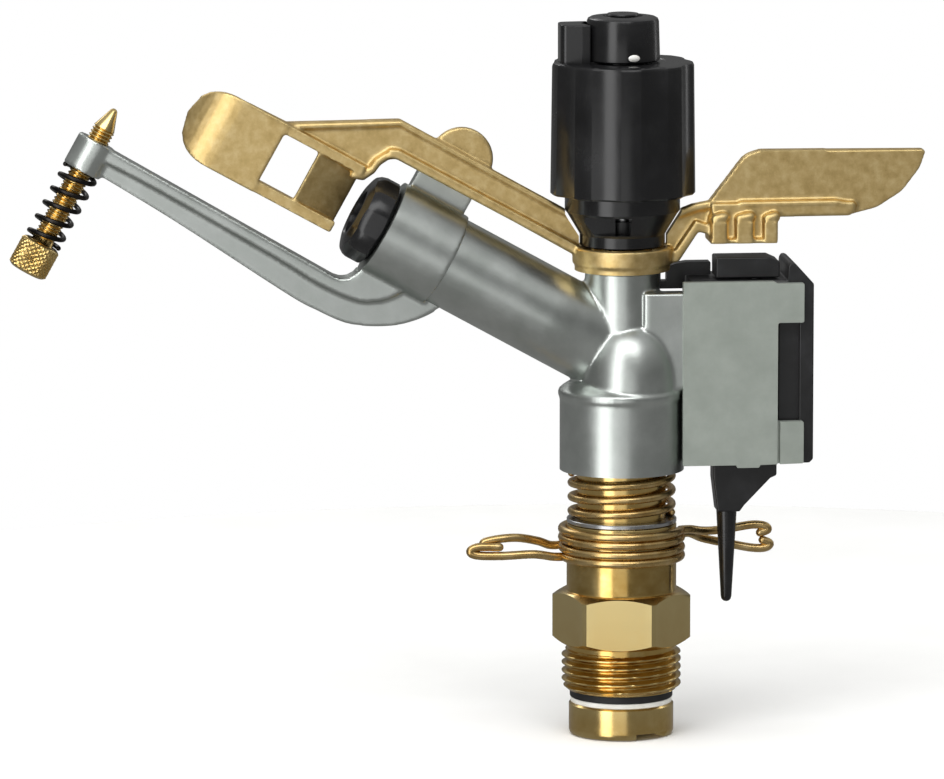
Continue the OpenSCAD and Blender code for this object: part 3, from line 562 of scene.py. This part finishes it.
cut(body, block("mouthFace", (mouth, -mouthHalf, -mouthHalf), (mouth + 6, mouthHalf, mouthHalf), alongBarrel))
cut(body, revolve("socketBore", [(0, socketFoot - 1), (tubeClear + 1.5, socketFoot - 1),
                                 (tubeClear, socketFoot + 0.6), (tubeClear, tubeTop), (0, tubeTop)], 96))
cut(body, revolve("waterway", [(0, tubeTop - 1), (boreRadius, tubeTop - 1), (boreRadius, barrel["axisHeight"] + 3),
                               (0, barrel["axisHeight"] + 4)], 64))
pipeBore = barrel["bore"] / 2
cut(body, revolve("barrelBore", [(0, 1), (pipeBore - 1.8, 1), (pipeBore - 1.8, 14), (pipeBore, barrel["rootLength"]),
                                 (pipeBore, mouth - 0.6), (pipeBore + 1.6, mouth + 1), (0, mouth + 1)], 64,
                  place=onBarrel))
place(body, "head", finishes["castAluminium"], "cast_aluminium", "body_casting")
print("body casting done")

# Breaker bracket
bracket = dict(collar=21.4, collarLength=15.8, boss=8.8, bossHeight=7.0, screwAt=124.8, top=-13.3, armBand=7.0,
               armWeb=4.6)
bossTop, bossLow = bracket["top"], bracket["top"] - bracket["bossHeight"]
screwAt = bracket["screwAt"]
armTop = [(screwAt, bossTop), (screwAt - 19, bossTop - 0.4), (mouth + 4.2, bossTop - 1.3)]
throat = [(mouth + 4.2 - 4 * sin(a), bossTop + 2.7 - 4 * cos(a)) for a in (pi / 8, pi / 4, 3 * pi / 8, pi / 2)]
armLow = spline([(mouth - 19.6, -9.4), (mouth - 19.3, -10.3), (mouth - 17.4, bossLow + 7),
                 (mouth - 14.9, bossLow + 4.2), (mouth - 12.5, bossLow + 2.2), (mouth - 9.4, bossLow + 0.3),
                 (mouth - 6.1, bossLow - 1.2), (mouth - 2.1, bossLow - 2.4), (mouth + 4.2, bossLow - 2.8),
                 (mouth + 11.8, bossLow - 2.7), (screwAt - 23, bossLow - 0.2), (screwAt, bossLow + 1)], 4)
bandLow = spline([(screwAt - 2, bossTop - 3.0), (screwAt - 16, bossTop - 2.9), (mouth + 25.8, bossTop - 3.5),
                  (mouth + 15.1, bossTop - 3.9), (mouth + 7.6, bossTop - 4.4), (mouth + 1.6, bossTop - 4.2),
                  (mouth - 3.4, bossTop - 3.4), (mouth - 6.2, bossTop - 1.9), (mouth - 8.6, bossTop + 0.1),
                  (mouth - 10.8, bossTop + 3.3)], 4)


def onScrewLine(up):
    return Matrix.Translation(alongBarrel(screwAt, up)) @ Matrix.Rotation(radians(barrel["tilt"]), 4, "Y")


bracketShells = [
    rod("sleeve", bracket["collar"] / 2, mouth - bracket["collarLength"], mouth + 2, 96, place=onBarrel),
    slab("armBand", armTop + throat + [(mouth, -8), (mouth - 10.8, -8)] + bandLow[::-1], -bracket["armBand"] / 2,
         bracket["armBand"] / 2, alongBarrel),
    slab("armWeb", armTop + throat + [(mouth, -8.7), (mouth - 19.6, -8.7)] + armLow, -bracket["armWeb"] / 2,
         bracket["armWeb"] / 2, alongBarrel),
    sweep("armLip", [alongBarrel(a, b + 0.7) for a, b in armLow[6:-1]], 0.9, sides=12),
    rod("boss", bracket["boss"] / 2, -0.2, bracket["bossHeight"] + 0.2, 64, place=onScrewLine(bossLow)),
    slab("armStop", rounded([(mouth - 1.6, 4, 0), (mouth - 15.1, 4, 0), (mouth - 15.1, 21.5, 2.5),
                             (mouth - 12.6, 24, 2), (mouth - 4.6, 24, 2), (mouth - 1.6, 21, 2.5)]), 3.2, 7.2,
         alongBarrel),
]
breakerBracket = castSolid("breakerBracket", bracketShells, 0.36, 5)
sleeveClear = pipeOuter + 0.05
cut(breakerBracket, rod("sleeveFace", 11.5, mouth - 0.02, mouth + 4, 64, place=onBarrel))
cut(breakerBracket, rod("sleeveBore", sleeveClear, mouth - 30, mouth + 5, 96, place=onBarrel))
cut(breakerBracket, rod("screwBore", 2.55, -3, 10, 48, place=onScrewLine(bossLow)))
place(breakerBracket, "head", finishes["castAluminium"], "cast_aluminium", "breaker_bracket")
print("breaker bracket done")

# Nozzle
nozzle = dict(acrossFlats=18.8, length=6.9, jet=4.4, crown=2.6)
nozzleAcross = nozzle["acrossFlats"] / 2
nozzleCorner = min(nozzleAcross / cos(pi / 6) - 0.4, 9.8)


def nozzleProfile(angle):
    corner = hexRadius(angle, 0, nozzleAcross, nozzleCorner)
    end, jet = mouth + nozzle["length"], nozzle["jet"] / 2
    rows = [(7.15, mouth - 12), (7.15, mouth + 0.06), (nozzleAcross - 1.1, mouth + 0.08)]
    rows += [(corner - 0.25, mouth + 0.08 + 0.6 * (corner - nozzleAcross + 0.85)),
             (corner, mouth + 0.4 + 0.6 * (corner - nozzleAcross + 0.85))]
    crown = end - 0.62 * (corner - nozzleAcross) - nozzle["crown"]
    rows += [(corner, crown), (corner - 0.28, crown + 1.0), (corner - 0.95, crown + 1.9)]
    rows += [(nozzleAcross - 2.6, end - 0.15), (nozzleAcross - 3.6, end), (5.6, end), (5.2, end - 0.4),
             (5.0, end - 2.4), (jet + 0.3, end - 3.2), (jet, end - 3.6), (jet, mouth - 2), (6.0, mouth - 12)]
    return rows


jetNozzle = revolve("jetNozzle", nozzleProfile, hexAngles(0, nozzleAcross, nozzleCorner), closed=True, place=onBarrel)
place(jetNozzle, "head", finishes["glossyAbs"], "black_plastic", "nozzle", smooth=24)

# Breaker screw and its spring
screw = dict(shank=5.0, pitch=0.8, threadDepth=0.42, head=9.0, headHeight=7.2, gap=18.3, point=8.2, knurlPitch=1.15,
             knurlDepth=0.34)
breakerAxis = onScrewLine(0)
headTop = bossLow - screw["gap"]
headLow = headTop - screw["headHeight"]
pointTop = bossTop + screw["point"]


def screwProfile(angle):
    head, shank = screw["head"] / 2, screw["shank"] / 2
    rows = [(0, headLow + 0.5), (1.6, headLow + 0.5), (1.9, headLow), (head - 0.9, headLow),
            (head - 0.5, headLow + 0.2)]
    count = 40
    for i in range(count + 1):  # crossed knurling between two plain rims
        z = headLow + 0.6 + (screw["headHeight"] - 1.2) * i / count
        turns = angle / 360 * 24
        climb = (z - headLow) / screw["knurlPitch"]
        groove = max(1 - 3.2 * abs((turns + climb) % 1 - 0.5), 1 - 3.2 * abs((turns - climb) % 1 - 0.5), 0)
        rows.append((head - screw["knurlDepth"] * groove, z))
    rows += [(head - 0.5, headTop - 0.2), (head - 0.9, headTop), (shank + 0.3, headTop), (shank, headTop + 0.3)]
    count = 240
    first, last = headTop + 1.2, pointTop - 5
    for i in range(count + 1):
        z = first + (last - first) * i / count
        ridge = abs(2 * ((z / screw["pitch"] - angle / 360) % 1) - 1)
        rows.append((shank - screw["threadDepth"] * (1 - min(1, 1.25 * ridge)), z))
    rows += [(shank - 0.1, pointTop - 4.9), (0.8, pointTop - 0.5), (0.45, pointTop - 0.12), (0, pointTop)]
    return rows


brassScrew = revolve("breakerScrew", screwProfile, 96, place=breakerAxis)
place(brassScrew, "breaker", finishes["turnedBrass"], "turned_brass", "breaker_screw", smooth=40)
breakerSpring = dict(wire=1.1, outer=8.7, turns=5.5)
wireRadius = breakerSpring["wire"] / 2
coil = sweep("breakerCoil", helix(breakerSpring["turns"], breakerSpring["outer"] / 2 - wireRadius,
                                  headTop + 0.05 + wireRadius, bossLow - 0.05 - wireRadius, steps=32, flatTurns=0.3),
             wireRadius, sides=12, place=breakerAxis)
place(coil, "breaker_carriage", finishes["springSteel"], "spring_steel", "breaker_spring")
print("breaker screw done")

# Drive arm
arm = dict(hub=22.0, hubHeight=5.0, web=3.0, flange=6.0, spoonWidth=16.8, spoonEnd=111.0, paddle=3.4)
hubTop, hubOuter = hubFoot + arm["hubHeight"], arm["hub"] / 2
vane = mouth + nozzle["length"] + 3
windowNear, windowFar = vane + 10.6, vane + 19.9
strutMiddle = (hubFoot + arm["hubHeight"] / 2 - barrel["axisHeight"]) * tiltCos
strutLow, strutHigh = strutMiddle - 3.9, strutMiddle + 3.7
spoonHalf, spoonLift = arm["spoonWidth"] / 2, 1.7
webHalf, flangeHalf = arm["web"] / 2, arm["flange"] / 2
strutLine = [(vane - 5, strutLow), (vane - 3, strutLow - 0.7), (vane - 1.8, strutLow - 2.9), (vane - 1.5, 9.8),
             (vane - 0.4, 7.6), (vane + 1.5, 7.1)]
spoonTop = spoonLift + spoonHalf
tail = arm["spoonEnd"] - 10.4
spoonFace, spoonBack = -3.2, -1.5


def tailPoint(a, b, y):  # the spoon's far end curls back round a line across the plate
    past = max(a - tail, 0)
    bend = min(past / 12, 1) * radians(46)
    return alongBarrel(tail + past * cos(bend * 0.8) if past else a, b, y + past * sin(bend * 0.72))


tailRows = 14
plateVerts, plateFaces, tailGrid = [], [], []
for i in range(tailRows + 1):
    a = windowFar - 0.6 + (arm["spoonEnd"] + 1.2 - windowFar + 0.6) * i / tailRows
    centre = arm["spoonEnd"] - spoonHalf - 0.2
    reach = max(0.0, (a - centre) / (spoonHalf + 1.4))
    width = spoonHalf * (1 - min(reach, 0.999) ** 2) ** 0.5
    tailGrid.append((a, width))
for y in (spoonFace, spoonBack):
    for a, width in tailGrid:
        for j in range(9):
            plateVerts.append(tailPoint(a, spoonLift + width * (j / 4 - 1), y))
rows, layer = tailRows + 1, (tailRows + 1) * 9
for face in gridFaces(rows, 9, False, False):
    plateFaces += [face, tuple(layer + i for i in reversed(face))]
rim = [i * 9 for i in range(rows)] + [(rows - 1) * 9 + j for j in range(1, 9)]
rim += [i * 9 + 8 for i in range(rows - 2, -1, -1)] + list(range(7, 0, -1))
plateFaces += [(rim[i], rim[(i + 1) % len(rim)], layer + rim[(i + 1) % len(rim)], layer + rim[i])
               for i in range(len(rim))]

armShells = [
    revolve("hub", [(0, hubFoot - 1), (hubOuter - 0.5, hubFoot - 1), (hubOuter - 0.5, hubFoot + 1.2),
                    (hubOuter, hubFoot + 1.6), (hubOuter, hubTop + 0.2), (hubOuter - 1.5, hubTop + 0.2),
                    (hubOuter - 1.7, hubTop - 1.8), (0, hubTop - 1.8)], 96),
    rod("hubBoss", 6.6, hubFoot - 1, hubTop + 0.2, 48),
    slab("strutWeb", [(15.0, strutLow - 0.6)] + strutLine + [(windowNear + 4, spoonTop - 0.9),
                                                          (windowFar + 0.7, spoonTop - 0.4),
                                                          (vane - 1.8, strutHigh), (19.0, strutHigh - 0.2)],
         -webHalf, webHalf, alongBarrel),
    slab("strutFlange", [(16.3, strutLow - 0.2), (vane - 5.2, strutLow - 0.4), (vane - 3.4, strutLow - 0.9),
                         (vane - 2.6, strutLow + 0.8), (vane - 4.6, strutLow + 1.7), (16.3, strutLow + 1.9)],
         -flangeHalf, flangeHalf, alongBarrel),
    sweep("strutBead", [alongBarrel(a, b, -1.9) for a, b in [(vane - 5, strutLow + 0.7)] + strutLine[1:]], 1.0,
          sides=12),
    sweep("strutTopBead", [alongBarrel(a, b, -1.3) for a, b in [(24, strutHigh - 0.8), (vane - 2.2, strutHigh - 0.7),
                                                               (windowFar - 1, spoonTop - 0.5),
                                                               (tail - 1, spoonTop - 0.8)]], 0.85, sides=12),
    rod("lobe", 6.9, -1.2, 1.2, 64,
        place=Matrix.Translation(alongBarrel(vane - 18, strutMiddle + 2.5)) @ Matrix.Rotation(pi / 2, 4, "X")),
    newObject("spoonPlate", plateVerts, plateFaces),
]
for lipLow, thick in ((spoonLift - spoonHalf + 0.1, 2.6), (spoonTop - 2.3, 2.2)):
    armShells.append(block("spoonLip", (vane, spoonFace + 0.1, lipLow), (windowFar + 2, 2.4, lipLow + thick),
                           alongBarrel))
vaneLine = [(windowNear, spoonFace + 0.3), (windowNear, spoonFace + 2.0), (vane, 2.7), (vane, 1.0)]
armShells.append(newObject(
    "spoonVane", [alongBarrel(a, b, y) for b in (spoonLift - spoonHalf + 0.3, spoonTop - 0.3) for a, y in vaneLine],
    [(0, 1, 2, 3), (7, 6, 5, 4)] + [(i, (i + 1) % 4, 4 + (i + 1) % 4, 4 + i) for i in range(4)]))


def aboveHub(x, z, y=0.0):
    return Vector((x, y, hubFoot + z))


# Counterweight: strut, grooved block and paddle
blockLow, blockTop, blockFront, blockBack = boxOf("reversing_lever")[1].z + 1.6, hubFoot + 11.9, -5.5, 4.5
weightWeb = [(9.4, 1.6), (12.3, 2.3), (16.3, 8.4), (19.5, 7.6), (19.5, 14.9), (15.6, 14.3),
             (12.7, 13.2), (9.4, 8)]
armShells += [
    slab("weightWeb", weightWeb, -1.4, 1.4, aboveHub),
    slab("weightFlange", [(8.9, 1.0), (12.3, 1.9), (16.6, 8.4), (19.8, 7.4), (19.8, 9.6),
                          (15.9, 10.9), (11.5, 4.4), (8.9, 3.6)], -flangeHalf, flangeHalf, aboveHub),
    sweep("weightBead", [aboveHub(x, z, -1.2) for x, z in [(12.4, 12.4), (15.8, 13.6), (19.6, 14.3)]], 1.1,
          sides=12),
    block("weightBlock", (18.9, blockFront + 2.4, blockLow), (33.3, blockBack, blockTop)),
    block("weightFoot", (18.9, blockFront + 0.2, blockLow), (33.6, blockBack, blockLow + 0.9)),
    slab("paddle", rounded([(19.4, 11, 0), (19.4, 15.2, 0), (27.1, 25.2, 5), (30.5, 26.2, 3),
                            (paddleEnd - 0.2, 25.9, 0.6), (paddleEnd - 1.6, 21.8, 4),
                            (paddleEnd - 5.5, 16.7, 6), (paddleEnd - 11.1, 13.1, 6),
                            (paddleEnd - 16.7, 11.7, 3), (30, 11.5, 0)]), -arm["paddle"] / 2,
         arm["paddle"] / 2, aboveHub),
    slab("paddleFlange", [(19.4, 11.4), (19.4, 14.6), (51.0, 14.6), (51.6, 14.0), (51.3, 12.2),
                          (50, 11.5)], -flangeHalf, flangeHalf, aboveHub),
    sweep("paddleBead", [aboveHub(26, 14.3, -2.4), aboveHub(47, 14.4, -2.4), aboveHub(51, 13.6, -2.2)], 0.8,
          sides=12),
]
for x0, x1 in ((19.3, 22.6), (24.7, 28.4), (30.9, 33.9)):  # teeth of the block, with rounded tops
    armShells.append(block("tooth", (x0, blockFront, blockLow), (x1, -2, blockTop - 1.2)))
    toothLine = [upright(x0 + 0.9, blockTop - 0.6, -4.2), upright(x1 - 0.6, blockTop - 0.2, -4.0)]
    armShells.append(sweep("toothTop", toothLine, 1.3, sides=12))
driveArm = castSolid("driveArm", armShells, 0.34, 4)
cut(driveArm, block("hubFace", (-13, -13, hubFoot - 4), (13, 13, hubFoot)))
cut(driveArm, rod("hubBore", 5.05, hubFoot - 2, hubTop + 3, 64))
cut(driveArm, revolve("capRoom", [(0, hubTop + 0.15), (9.9, hubTop + 0.15), (9.9, capFoot + 2.3),
                                  (13.1, capFoot + 7.3), (13.1, capFoot + 11.1),
                                  (16.9, capFoot + 11.1), (16.9, capFoot + 45), (0, capFoot + 45)], 96))
place(driveArm, "hammer", finishes["castBrass"], "cast_brass", "hammer_arm", smooth=50)
print("drive arm done")

# Spring cap
cap = dict(barrel=32.1, barrelHeight=29.3, draft=0.35, wall=2.2, cone=18.8, skirt=25.4, coneLow=2.6, coneHeight=5.0,
           skirtHeight=3.9, flutes=9, fluteTurn=10, fluteSpan=24.0, fluteDepth=0.8)
capBody = capFoot + cap["coneLow"] + cap["coneHeight"] + cap["skirtHeight"]
capTop = capBody + cap["barrelHeight"]
skirtFoot = capBody - cap["skirtHeight"]


def flute(angle):  # depth of the flutes at an angle
    share = ((angle - cap["fluteTurn"] + 20) % 40 - 20) / (cap["fluteSpan"] / 2)
    return cap["fluteDepth"] * max(0, 1 - share ** 2)


def capProfile(angle):
    skirt, cone, wall = cap["skirt"] / 2, cap["cone"] / 2, cap["wall"]
    foot = cap["barrel"] / 2 - flute(angle)
    rim = foot - cap["draft"]
    return [(cone - wall, capFoot + 0.3), (cone - wall + 0.3, capFoot), (cone - 0.3, capFoot), (cone, capFoot + 0.3),
            (cone, capFoot + cap["coneLow"]), (skirt - 0.5, skirtFoot - 0.3), (skirt, skirtFoot + 0.3),
            (skirt, capBody - 0.02), (foot - 0.4, capBody), (foot, capBody + 0.4), (rim, capTop - 0.9),
            (rim - 0.25, capTop - 0.3), (rim - 0.9, capTop - 0.02), (9.6, capTop), (9.3, capTop - 0.15),
            (5.55, capTop - 0.15), (5.55, capTop - wall), (13.0, capTop - wall), (13.0, capBody + wall),
            (cone - wall, capBody + wall)]


flutePoints = [40 * k + cap["fluteTurn"] + a for k in range(cap["flutes"])
               for a in (-16, -12.01, -11.5, -9, -6, -3, 0, 3, 6, 9, 11.5, 12.01, 16, 20)]
springCap = revolve("springCap", capProfile, sorted(a % 360 for a in flutePoints), closed=True)
cut(springCap, block("recess", (-cap["cone"] / 2 + 0.2, -cap["skirt"], skirtFoot - 4.4), (0.6, -6.8, skirtFoot - 0.2)))
place(springCap, "head", finishes["glossyAbs"], "cap_plastic", "spring_cap", smooth=24)

# Lug beside the knob
lug = slab("capLug", rounded([(-14.1, -3.6, 1.6), (-9.4, -4.2, 1.0), (-7.4, -4.2, 0.3), (-8.9, 0, 0), (-7.4, 4.2, 0.3),
                              (-9.4, 4.2, 1.0), (-14.1, 3.6, 1.6)]), 0, 1)
lug.data.transform(Matrix(((1, 0, 0, 0), (0, 0, 1, 0), (0, 1, 0, 0), (0, 0, 0, 1))))
lug.data.transform(Matrix.Translation((0, 0, capTop - 0.3)) @ Matrix.Diagonal((1, 1, 8.4 + 0.3, 1)))
weld(lug)
place(lug, "head", finishes["glossyAbs"], "cap_plastic", bevel=0.45, segments=3)

# Tension knob
knob = dict(diameter=16.4, draft=0.25, stem=11.0)
knobLow, knobFoot = boxOf("tension_knob")[0].z, capTop + 0.2
knobOuter, knobStem = knob["diameter"] / 2, knob["stem"] / 2
knobRim = knobOuter - knob["draft"]
tensionKnob = revolve("tensionKnob", [
    (pinClear, knobLow), (knobStem, knobLow), (knobStem, knobFoot), (knobOuter - 0.3, knobFoot),
    (knobOuter, knobFoot + 0.3), (knobRim, knobTop - 1.2), (knobRim - 0.25, knobTop - 0.55),
    (knobRim - 0.8, knobTop - 0.25), (knobOuter - 3.2, knobTop - 0.05), (4.4, knobTop), (4.2, knobTop - 0.5),
    (pinClear, knobTop - 0.5)], 96, closed=True)
place(tensionKnob, "knob", finishes["glossyAbs"], "cap_plastic", "tension_knob", smooth=24)
index = revolve("indexMark", [(0, -0.5), (1.35, -0.5), (1.3, 0.1), (0.8, 0.35), (0, 0.42)], 32,
                place=Matrix.Rotation(radians(-79), 4, "Z") @ Matrix.Translation((8.05, 0, capTop + 1.4))
                @ Matrix.Rotation(pi / 2, 4, "Y") @ Matrix.Diagonal((0.6, 1, 1, 1)))
place(index, "knob", finishes["whitePaint"], "cap_plastic")
print("spring cap done")

# Pivot pin clip
clipLow, clipHigh = boxOf("knob_clip")
clip = revolve("knobClip", [(0, clipLow.z), (3.4, clipLow.z), (3.6, clipLow.z + 0.2), (3.4, clipLow.z + 0.5),
                            (0.9, clipHigh.z - 0.15), (0.6, clipHigh.z), (0, clipHigh.z)], 48)
place(clip, "head", finishes["glossyAbs"], "steel", "knob_clip")

# Reversing unit
unit = dict(wall=2.2, coverThick=1.8, tabReach=5.8, tabTop=8.7, tabLow=9.6, tabGroove=0.6, finDrop=2.2)
coverRight = coverHigh.x - unit["tabReach"]
coverFront, coverBack = coverLow.y, coverLow.y + unit["coverThick"]
plateFoot = unitLow.z
shaftX = boxOf("trip_shaft")[0].x / 2 + boxOf("trip_shaft")[1].x / 2
cover = slab("unitCover", rounded([
    (coverLow.x, plateFoot, 0.3), (coverLow.x + 11.8, plateFoot, 0.2), (coverLow.x + 12.1, coverLow.z, 0.2),
    (coverLow.x + 16.9, coverLow.z, 0.2), (coverLow.x + 17.2, plateFoot, 0.2),
    (coverHigh.x, plateFoot + 0.2, 0.3), (coverHigh.x, plateFoot + unit["tabLow"], 0.4),
    (coverRight, plateFoot + unit["tabLow"], 0.5), (coverRight, coverHigh.z - unit["tabTop"] - 0.5, 0.5),
    (coverHigh.x, coverHigh.z - unit["tabTop"] - 0.5, 0.4), (coverHigh.x, coverHigh.z - 0.5, 0.3),
    (coverRight, coverHigh.z - 0.5, 0), (coverRight - 1, coverHigh.z, 0), (coverLow.x, coverHigh.z, 0.3)]),
    coverFront, coverBack)
cut(cover, block("tabGroove", (coverRight, coverFront - 1, plateFoot - 2),
                 (coverRight + unit["tabGroove"], coverFront + 1.2, plateFoot + unit["tabLow"] + 1)))
place(cover, "head", finishes["chromatedZinc"], "cover_alloy", "housing_cover", bevel=0.35, segments=3)

spineRight, unitTop = unitHigh.x, coverHigh.z
finTop = unitHigh.z - unit["finDrop"]
housing = slab("unitHousing", [
    (unitLow.x, unitLow.z), (spineRight - 0.8, unitLow.z), (spineRight, unitLow.z + 0.8), (spineRight, unitTop - 0.9),
    (spineRight - 3.9, finTop - 0.4), (spineRight - 4.4, finTop), (spineRight - 5.2, finTop),
    (spineRight - 5.7, finTop - 0.8), (spineRight - 5.8, unitTop), (unitLow.x, unitTop)],
    coverBack + 0.05, unitHigh.y)
cut(housing, block("chamber", (unitLow.x + unit["wall"], coverBack - 1, unitLow.z + unit["wall"] + 1),
                   (coverRight + 5, unitHigh.y - unit["wall"], unitTop - unit["wall"] - 1)))
place(housing, "head", finishes["blackNylon"], "black_plastic", "reversing_housing", bevel=0.3, segments=3)
panel = block("unitPanel", (coverRight + 0.5, coverBack + 1.1, plateFoot + unit["tabLow"] - 1),
              (spineRight - 1, coverBack + 3.6, coverHigh.z - unit["tabTop"]))
place(panel, "head", finishes["blackNylon"], "black_plastic", bevel=0.3, segments=3)

# Trip lever and its finger
lever = dict(thick=3.6, half=3.0, finger=5.2, fingerLength=28.0, tip=1.2)
leverHigh = boxOf("trip_lever")[1]
leverTop = leverHigh.z
leverFoot = leverTop - lever["thick"]
fingerX = coverLow.x + 10.9
tripLever = slab("tripLever", rounded([
    (coverLow.x + 7.6, leverTop, 0.5), (leverHigh.x, leverTop, 0.5), (leverHigh.x, leverFoot + 0.6, 0.6),
    (leverHigh.x - 1.4, leverFoot, 0.6), (fingerX + 3.6, leverFoot - 6.0, 1), (fingerX + 2.6, leverFoot - 7.4, 0.5),
    (fingerX - 2.4, leverFoot - 7.4, 0.4), (coverLow.x + 7.6, leverFoot, 0.5)]), -lever["half"], lever["half"])
place(tripLever, "trip", finishes["blackNylon"], "black_plastic", "trip_lever", bevel=0.35, segments=3)
fingerLow = leverFoot - lever["fingerLength"]
tripFinger = revolve("tripFinger", [(0, fingerLow), (0.6, fingerLow + 0.15), (1.05, fingerLow + 0.6),
                                    (lever["tip"], fingerLow + 1.2), (lever["finger"] / 2 - 0.2, leverFoot - 5),
                                    (lever["finger"] / 2, leverFoot - 3), (lever["finger"] / 2, leverFoot + 1),
                                    (0, leverFoot + 1)], 48, place=Matrix.Translation((fingerX, 0, 0)))
place(tripFinger, "trip", finishes["glossyAbs"], "black_plastic")

# Reversing lever on top of the unit
pawlLow, pawlHigh = boxOf("reversing_lever")
pawlTop, pawlRight = pawlHigh.z - 1.5, pawlHigh.x + 0.6
pawl = slab("reversingPawl", rounded([(pawlLow.x + 0.8, pawlLow.z, 0.3), (pawlRight, pawlLow.z, 0.3),
                                     (pawlRight, pawlTop - 1.0, 0.4), (pawlRight - 2.2, pawlTop, 0.5),
                                     (pawlLow.x + 0.8, pawlTop, 0.4)]), pawlLow.y, pawlHigh.y)
place(pawl, "trip", finishes["blackNylon"], "black_plastic", "reversing_lever", bevel=0.3, segments=3)
shaftLow = boxOf("trip_shaft")[0]
tripShaft = revolve("tripShaft", [(0, shaftLow.z), (1.4, shaftLow.z), (1.6, shaftLow.z + 0.2), (1.6, pawlTop - 0.8),
                                  (1.4, pawlTop - 0.6), (0, pawlTop - 0.6)], 48,
                    place=Matrix.Translation((shaftX, 0, 0)))
place(tripShaft, "trip", finishes["stainless"], "steel", "trip_shaft")

# Guide link behind the post, beside the unit
link = dict(left=6.9, front=1.2, back=4.4, foot=78.7, waist=82.4, top=84.2)
linkHead, ledge, linkRight = link["top"] + 0.4, unitTop + 0.3, pawlLow.x + 0.4
guideLink = slab("guideLink", rounded([
    (link["left"], link["foot"], 0.3), (unitLow.x - 0.4, link["foot"], 0.3), (unitLow.x - 0.4, ledge, 0.3),
    (linkRight, ledge, 0.3), (linkRight, linkHead, 0.3), (unitLow.x, linkHead, 0.5),
    (unitLow.x - 2.6, link["top"], 0.8), (link["left"], link["waist"], 0.5)]), link["front"], link["back"])
cut(guideLink, block("linkEye", (link["left"] + 1.8, 0, 80.4), (link["left"] + 3.2, 6, 82.4)))
place(guideLink, "head", finishes["blackNylon"], "black_plastic", bevel=0.25, segments=3)
print("reversing unit done")

# Frame nodes that stay get the same finishes
kept = dict(nozzle_o_ring="rubber", flow_straightener="blackNylon", arm_bush="blackNylon", pivot_pin="stainless",
            arm_spring="springSteel", spring_seat="blackNylon", cover_screws="stainless",
            mounting_screws="stainless", toggle_crank="stainless",
            toggle_spring="springSteel", toggle_post="stainless")
for node, finish in kept.items():
    mesh = frame["nodes"][node].data
    mesh.materials.clear()
    mesh.materials.append(finishes[finish])

# Floor, light and camera
studio = dict(floorRadius=0.30, lampPower=7.0)
floorMesh = rod("floor", studio["floorRadius"] / mm, footEnd - 0.02, footEnd - 0.1, 128)
floorMesh.data.transform(Matrix.Scale(mm, 4))
floorPaint = surface("floorPaint", "#F4F4F2", "#F1F1EF", "#F6F6F5", rough=0.7, patch=60, grain=1.5, grainDepth=0.01)
floorMesh.data.materials.append(floorPaint)
floorMesh.visible_glossy = False  # the metal mirrors the darker studio instead

world = bpy.data.worlds.new("studio")
bpy.context.scene.world = world
world.use_nodes = True
tree = world.node_tree
background = tree.nodes["Background"]
height = addNode(tree, "SeparateXYZ", {"Vector": addNode(tree, "TexCoord").outputs["Generated"]}).outputs["Z"]
level = addNode(tree, "MapRange", {"Value": height, "From Min": -1.0}).outputs["Result"]
sky = addNode(tree, "ValToRGB", {"Fac": level})
stops = sky.color_ramp.elements
stops[0].position, stops[0].color = 0.0, (0.26, 0.255, 0.25, 1)
stops[1].position, stops[1].color = 1.0, (0.5, 0.5, 0.51, 1)
for position, value in ((0.40, 0.24), (0.52, 0.13), (0.64, 0.22), (0.80, 0.42)):
    stops.new(position).color = (value, value, value * 0.99, 1)
seen = addNode(tree, "LightPath").outputs["Is Camera Ray"]
glow = addNode(tree, "Mix", {"Factor": seen, "A": sky.outputs["Color"], "B": (1, 1, 1, 1)}, data_type="RGBA")
tree.links.new(glow.outputs["Result"], background.inputs["Color"])
background.inputs["Strength"].default_value = 1.0

middle = (cadBox[0] + cadBox[1]) / 2


def softbox(name, turn, rise, size, glow, mirrored=True, distance=0.9):
    # turn is the compass angle from +X and rise the angle above level, in degrees; glow is its brightness
    light = bpy.data.lights.new(name, "AREA")
    light.shape, light.size, light.size_y = "RECTANGLE", size[0], size[1]
    light.energy = glow * pi * size[0] * size[1]
    lamp = bpy.data.objects.new(name, light)
    offset = Vector((cos(radians(rise)) * cos(radians(turn)), cos(radians(rise)) * sin(radians(turn)),
                     sin(radians(rise)))) * distance
    lamp.location = middle + offset
    lamp.rotation_mode = "QUATERNION"
    lamp.rotation_quaternion = offset.to_track_quat("Z", "Y")
    lamp.visible_glossy, lamp.visible_camera = mirrored, False
    bpy.context.scene.collection.objects.link(lamp)


softbox("key", 232, 2, (0.42, 1.10), 2.6)
softbox("front", 262, -4, (0.50, 0.50), 0.75)
softbox("high", 256, 50, (1.00, 0.42), 2.8)
softbox("edge", 28, 15, (0.10, 0.80), 1.6)
softbox("rim", 115, 35, (0.60, 0.20), 2.0)
softbox("lamp", 250, 80, (0.90, 0.70), studio["lampPower"] / 2, mirrored=False)

view = dict(azimuth=-6, elevation=9, distance=1.984, lens=343.3, aimShift=(0.0006, 0.0, -0.00285))
azimuth, elevation = radians(view["azimuth"]), radians(view["elevation"])
back = Vector((sin(azimuth) * cos(elevation), -cos(azimuth) * cos(elevation), sin(elevation)))
camera = bpy.data.objects.new("camera", bpy.data.cameras.new("camera"))
camera.data.lens, camera.data.sensor_width = view["lens"], 36
camera.location = middle + Vector(view["aimShift"]) + back * view["distance"]
camera.rotation_mode = "QUATERNION"
camera.rotation_quaternion = (-back).to_track_quat("-Z", "Y")
bpy.context.scene.collection.objects.link(camera)
bpy.context.scene.camera = camera
bpy.context.scene.view_settings.view_transform = "Standard"

bpy.context.view_layer.update()
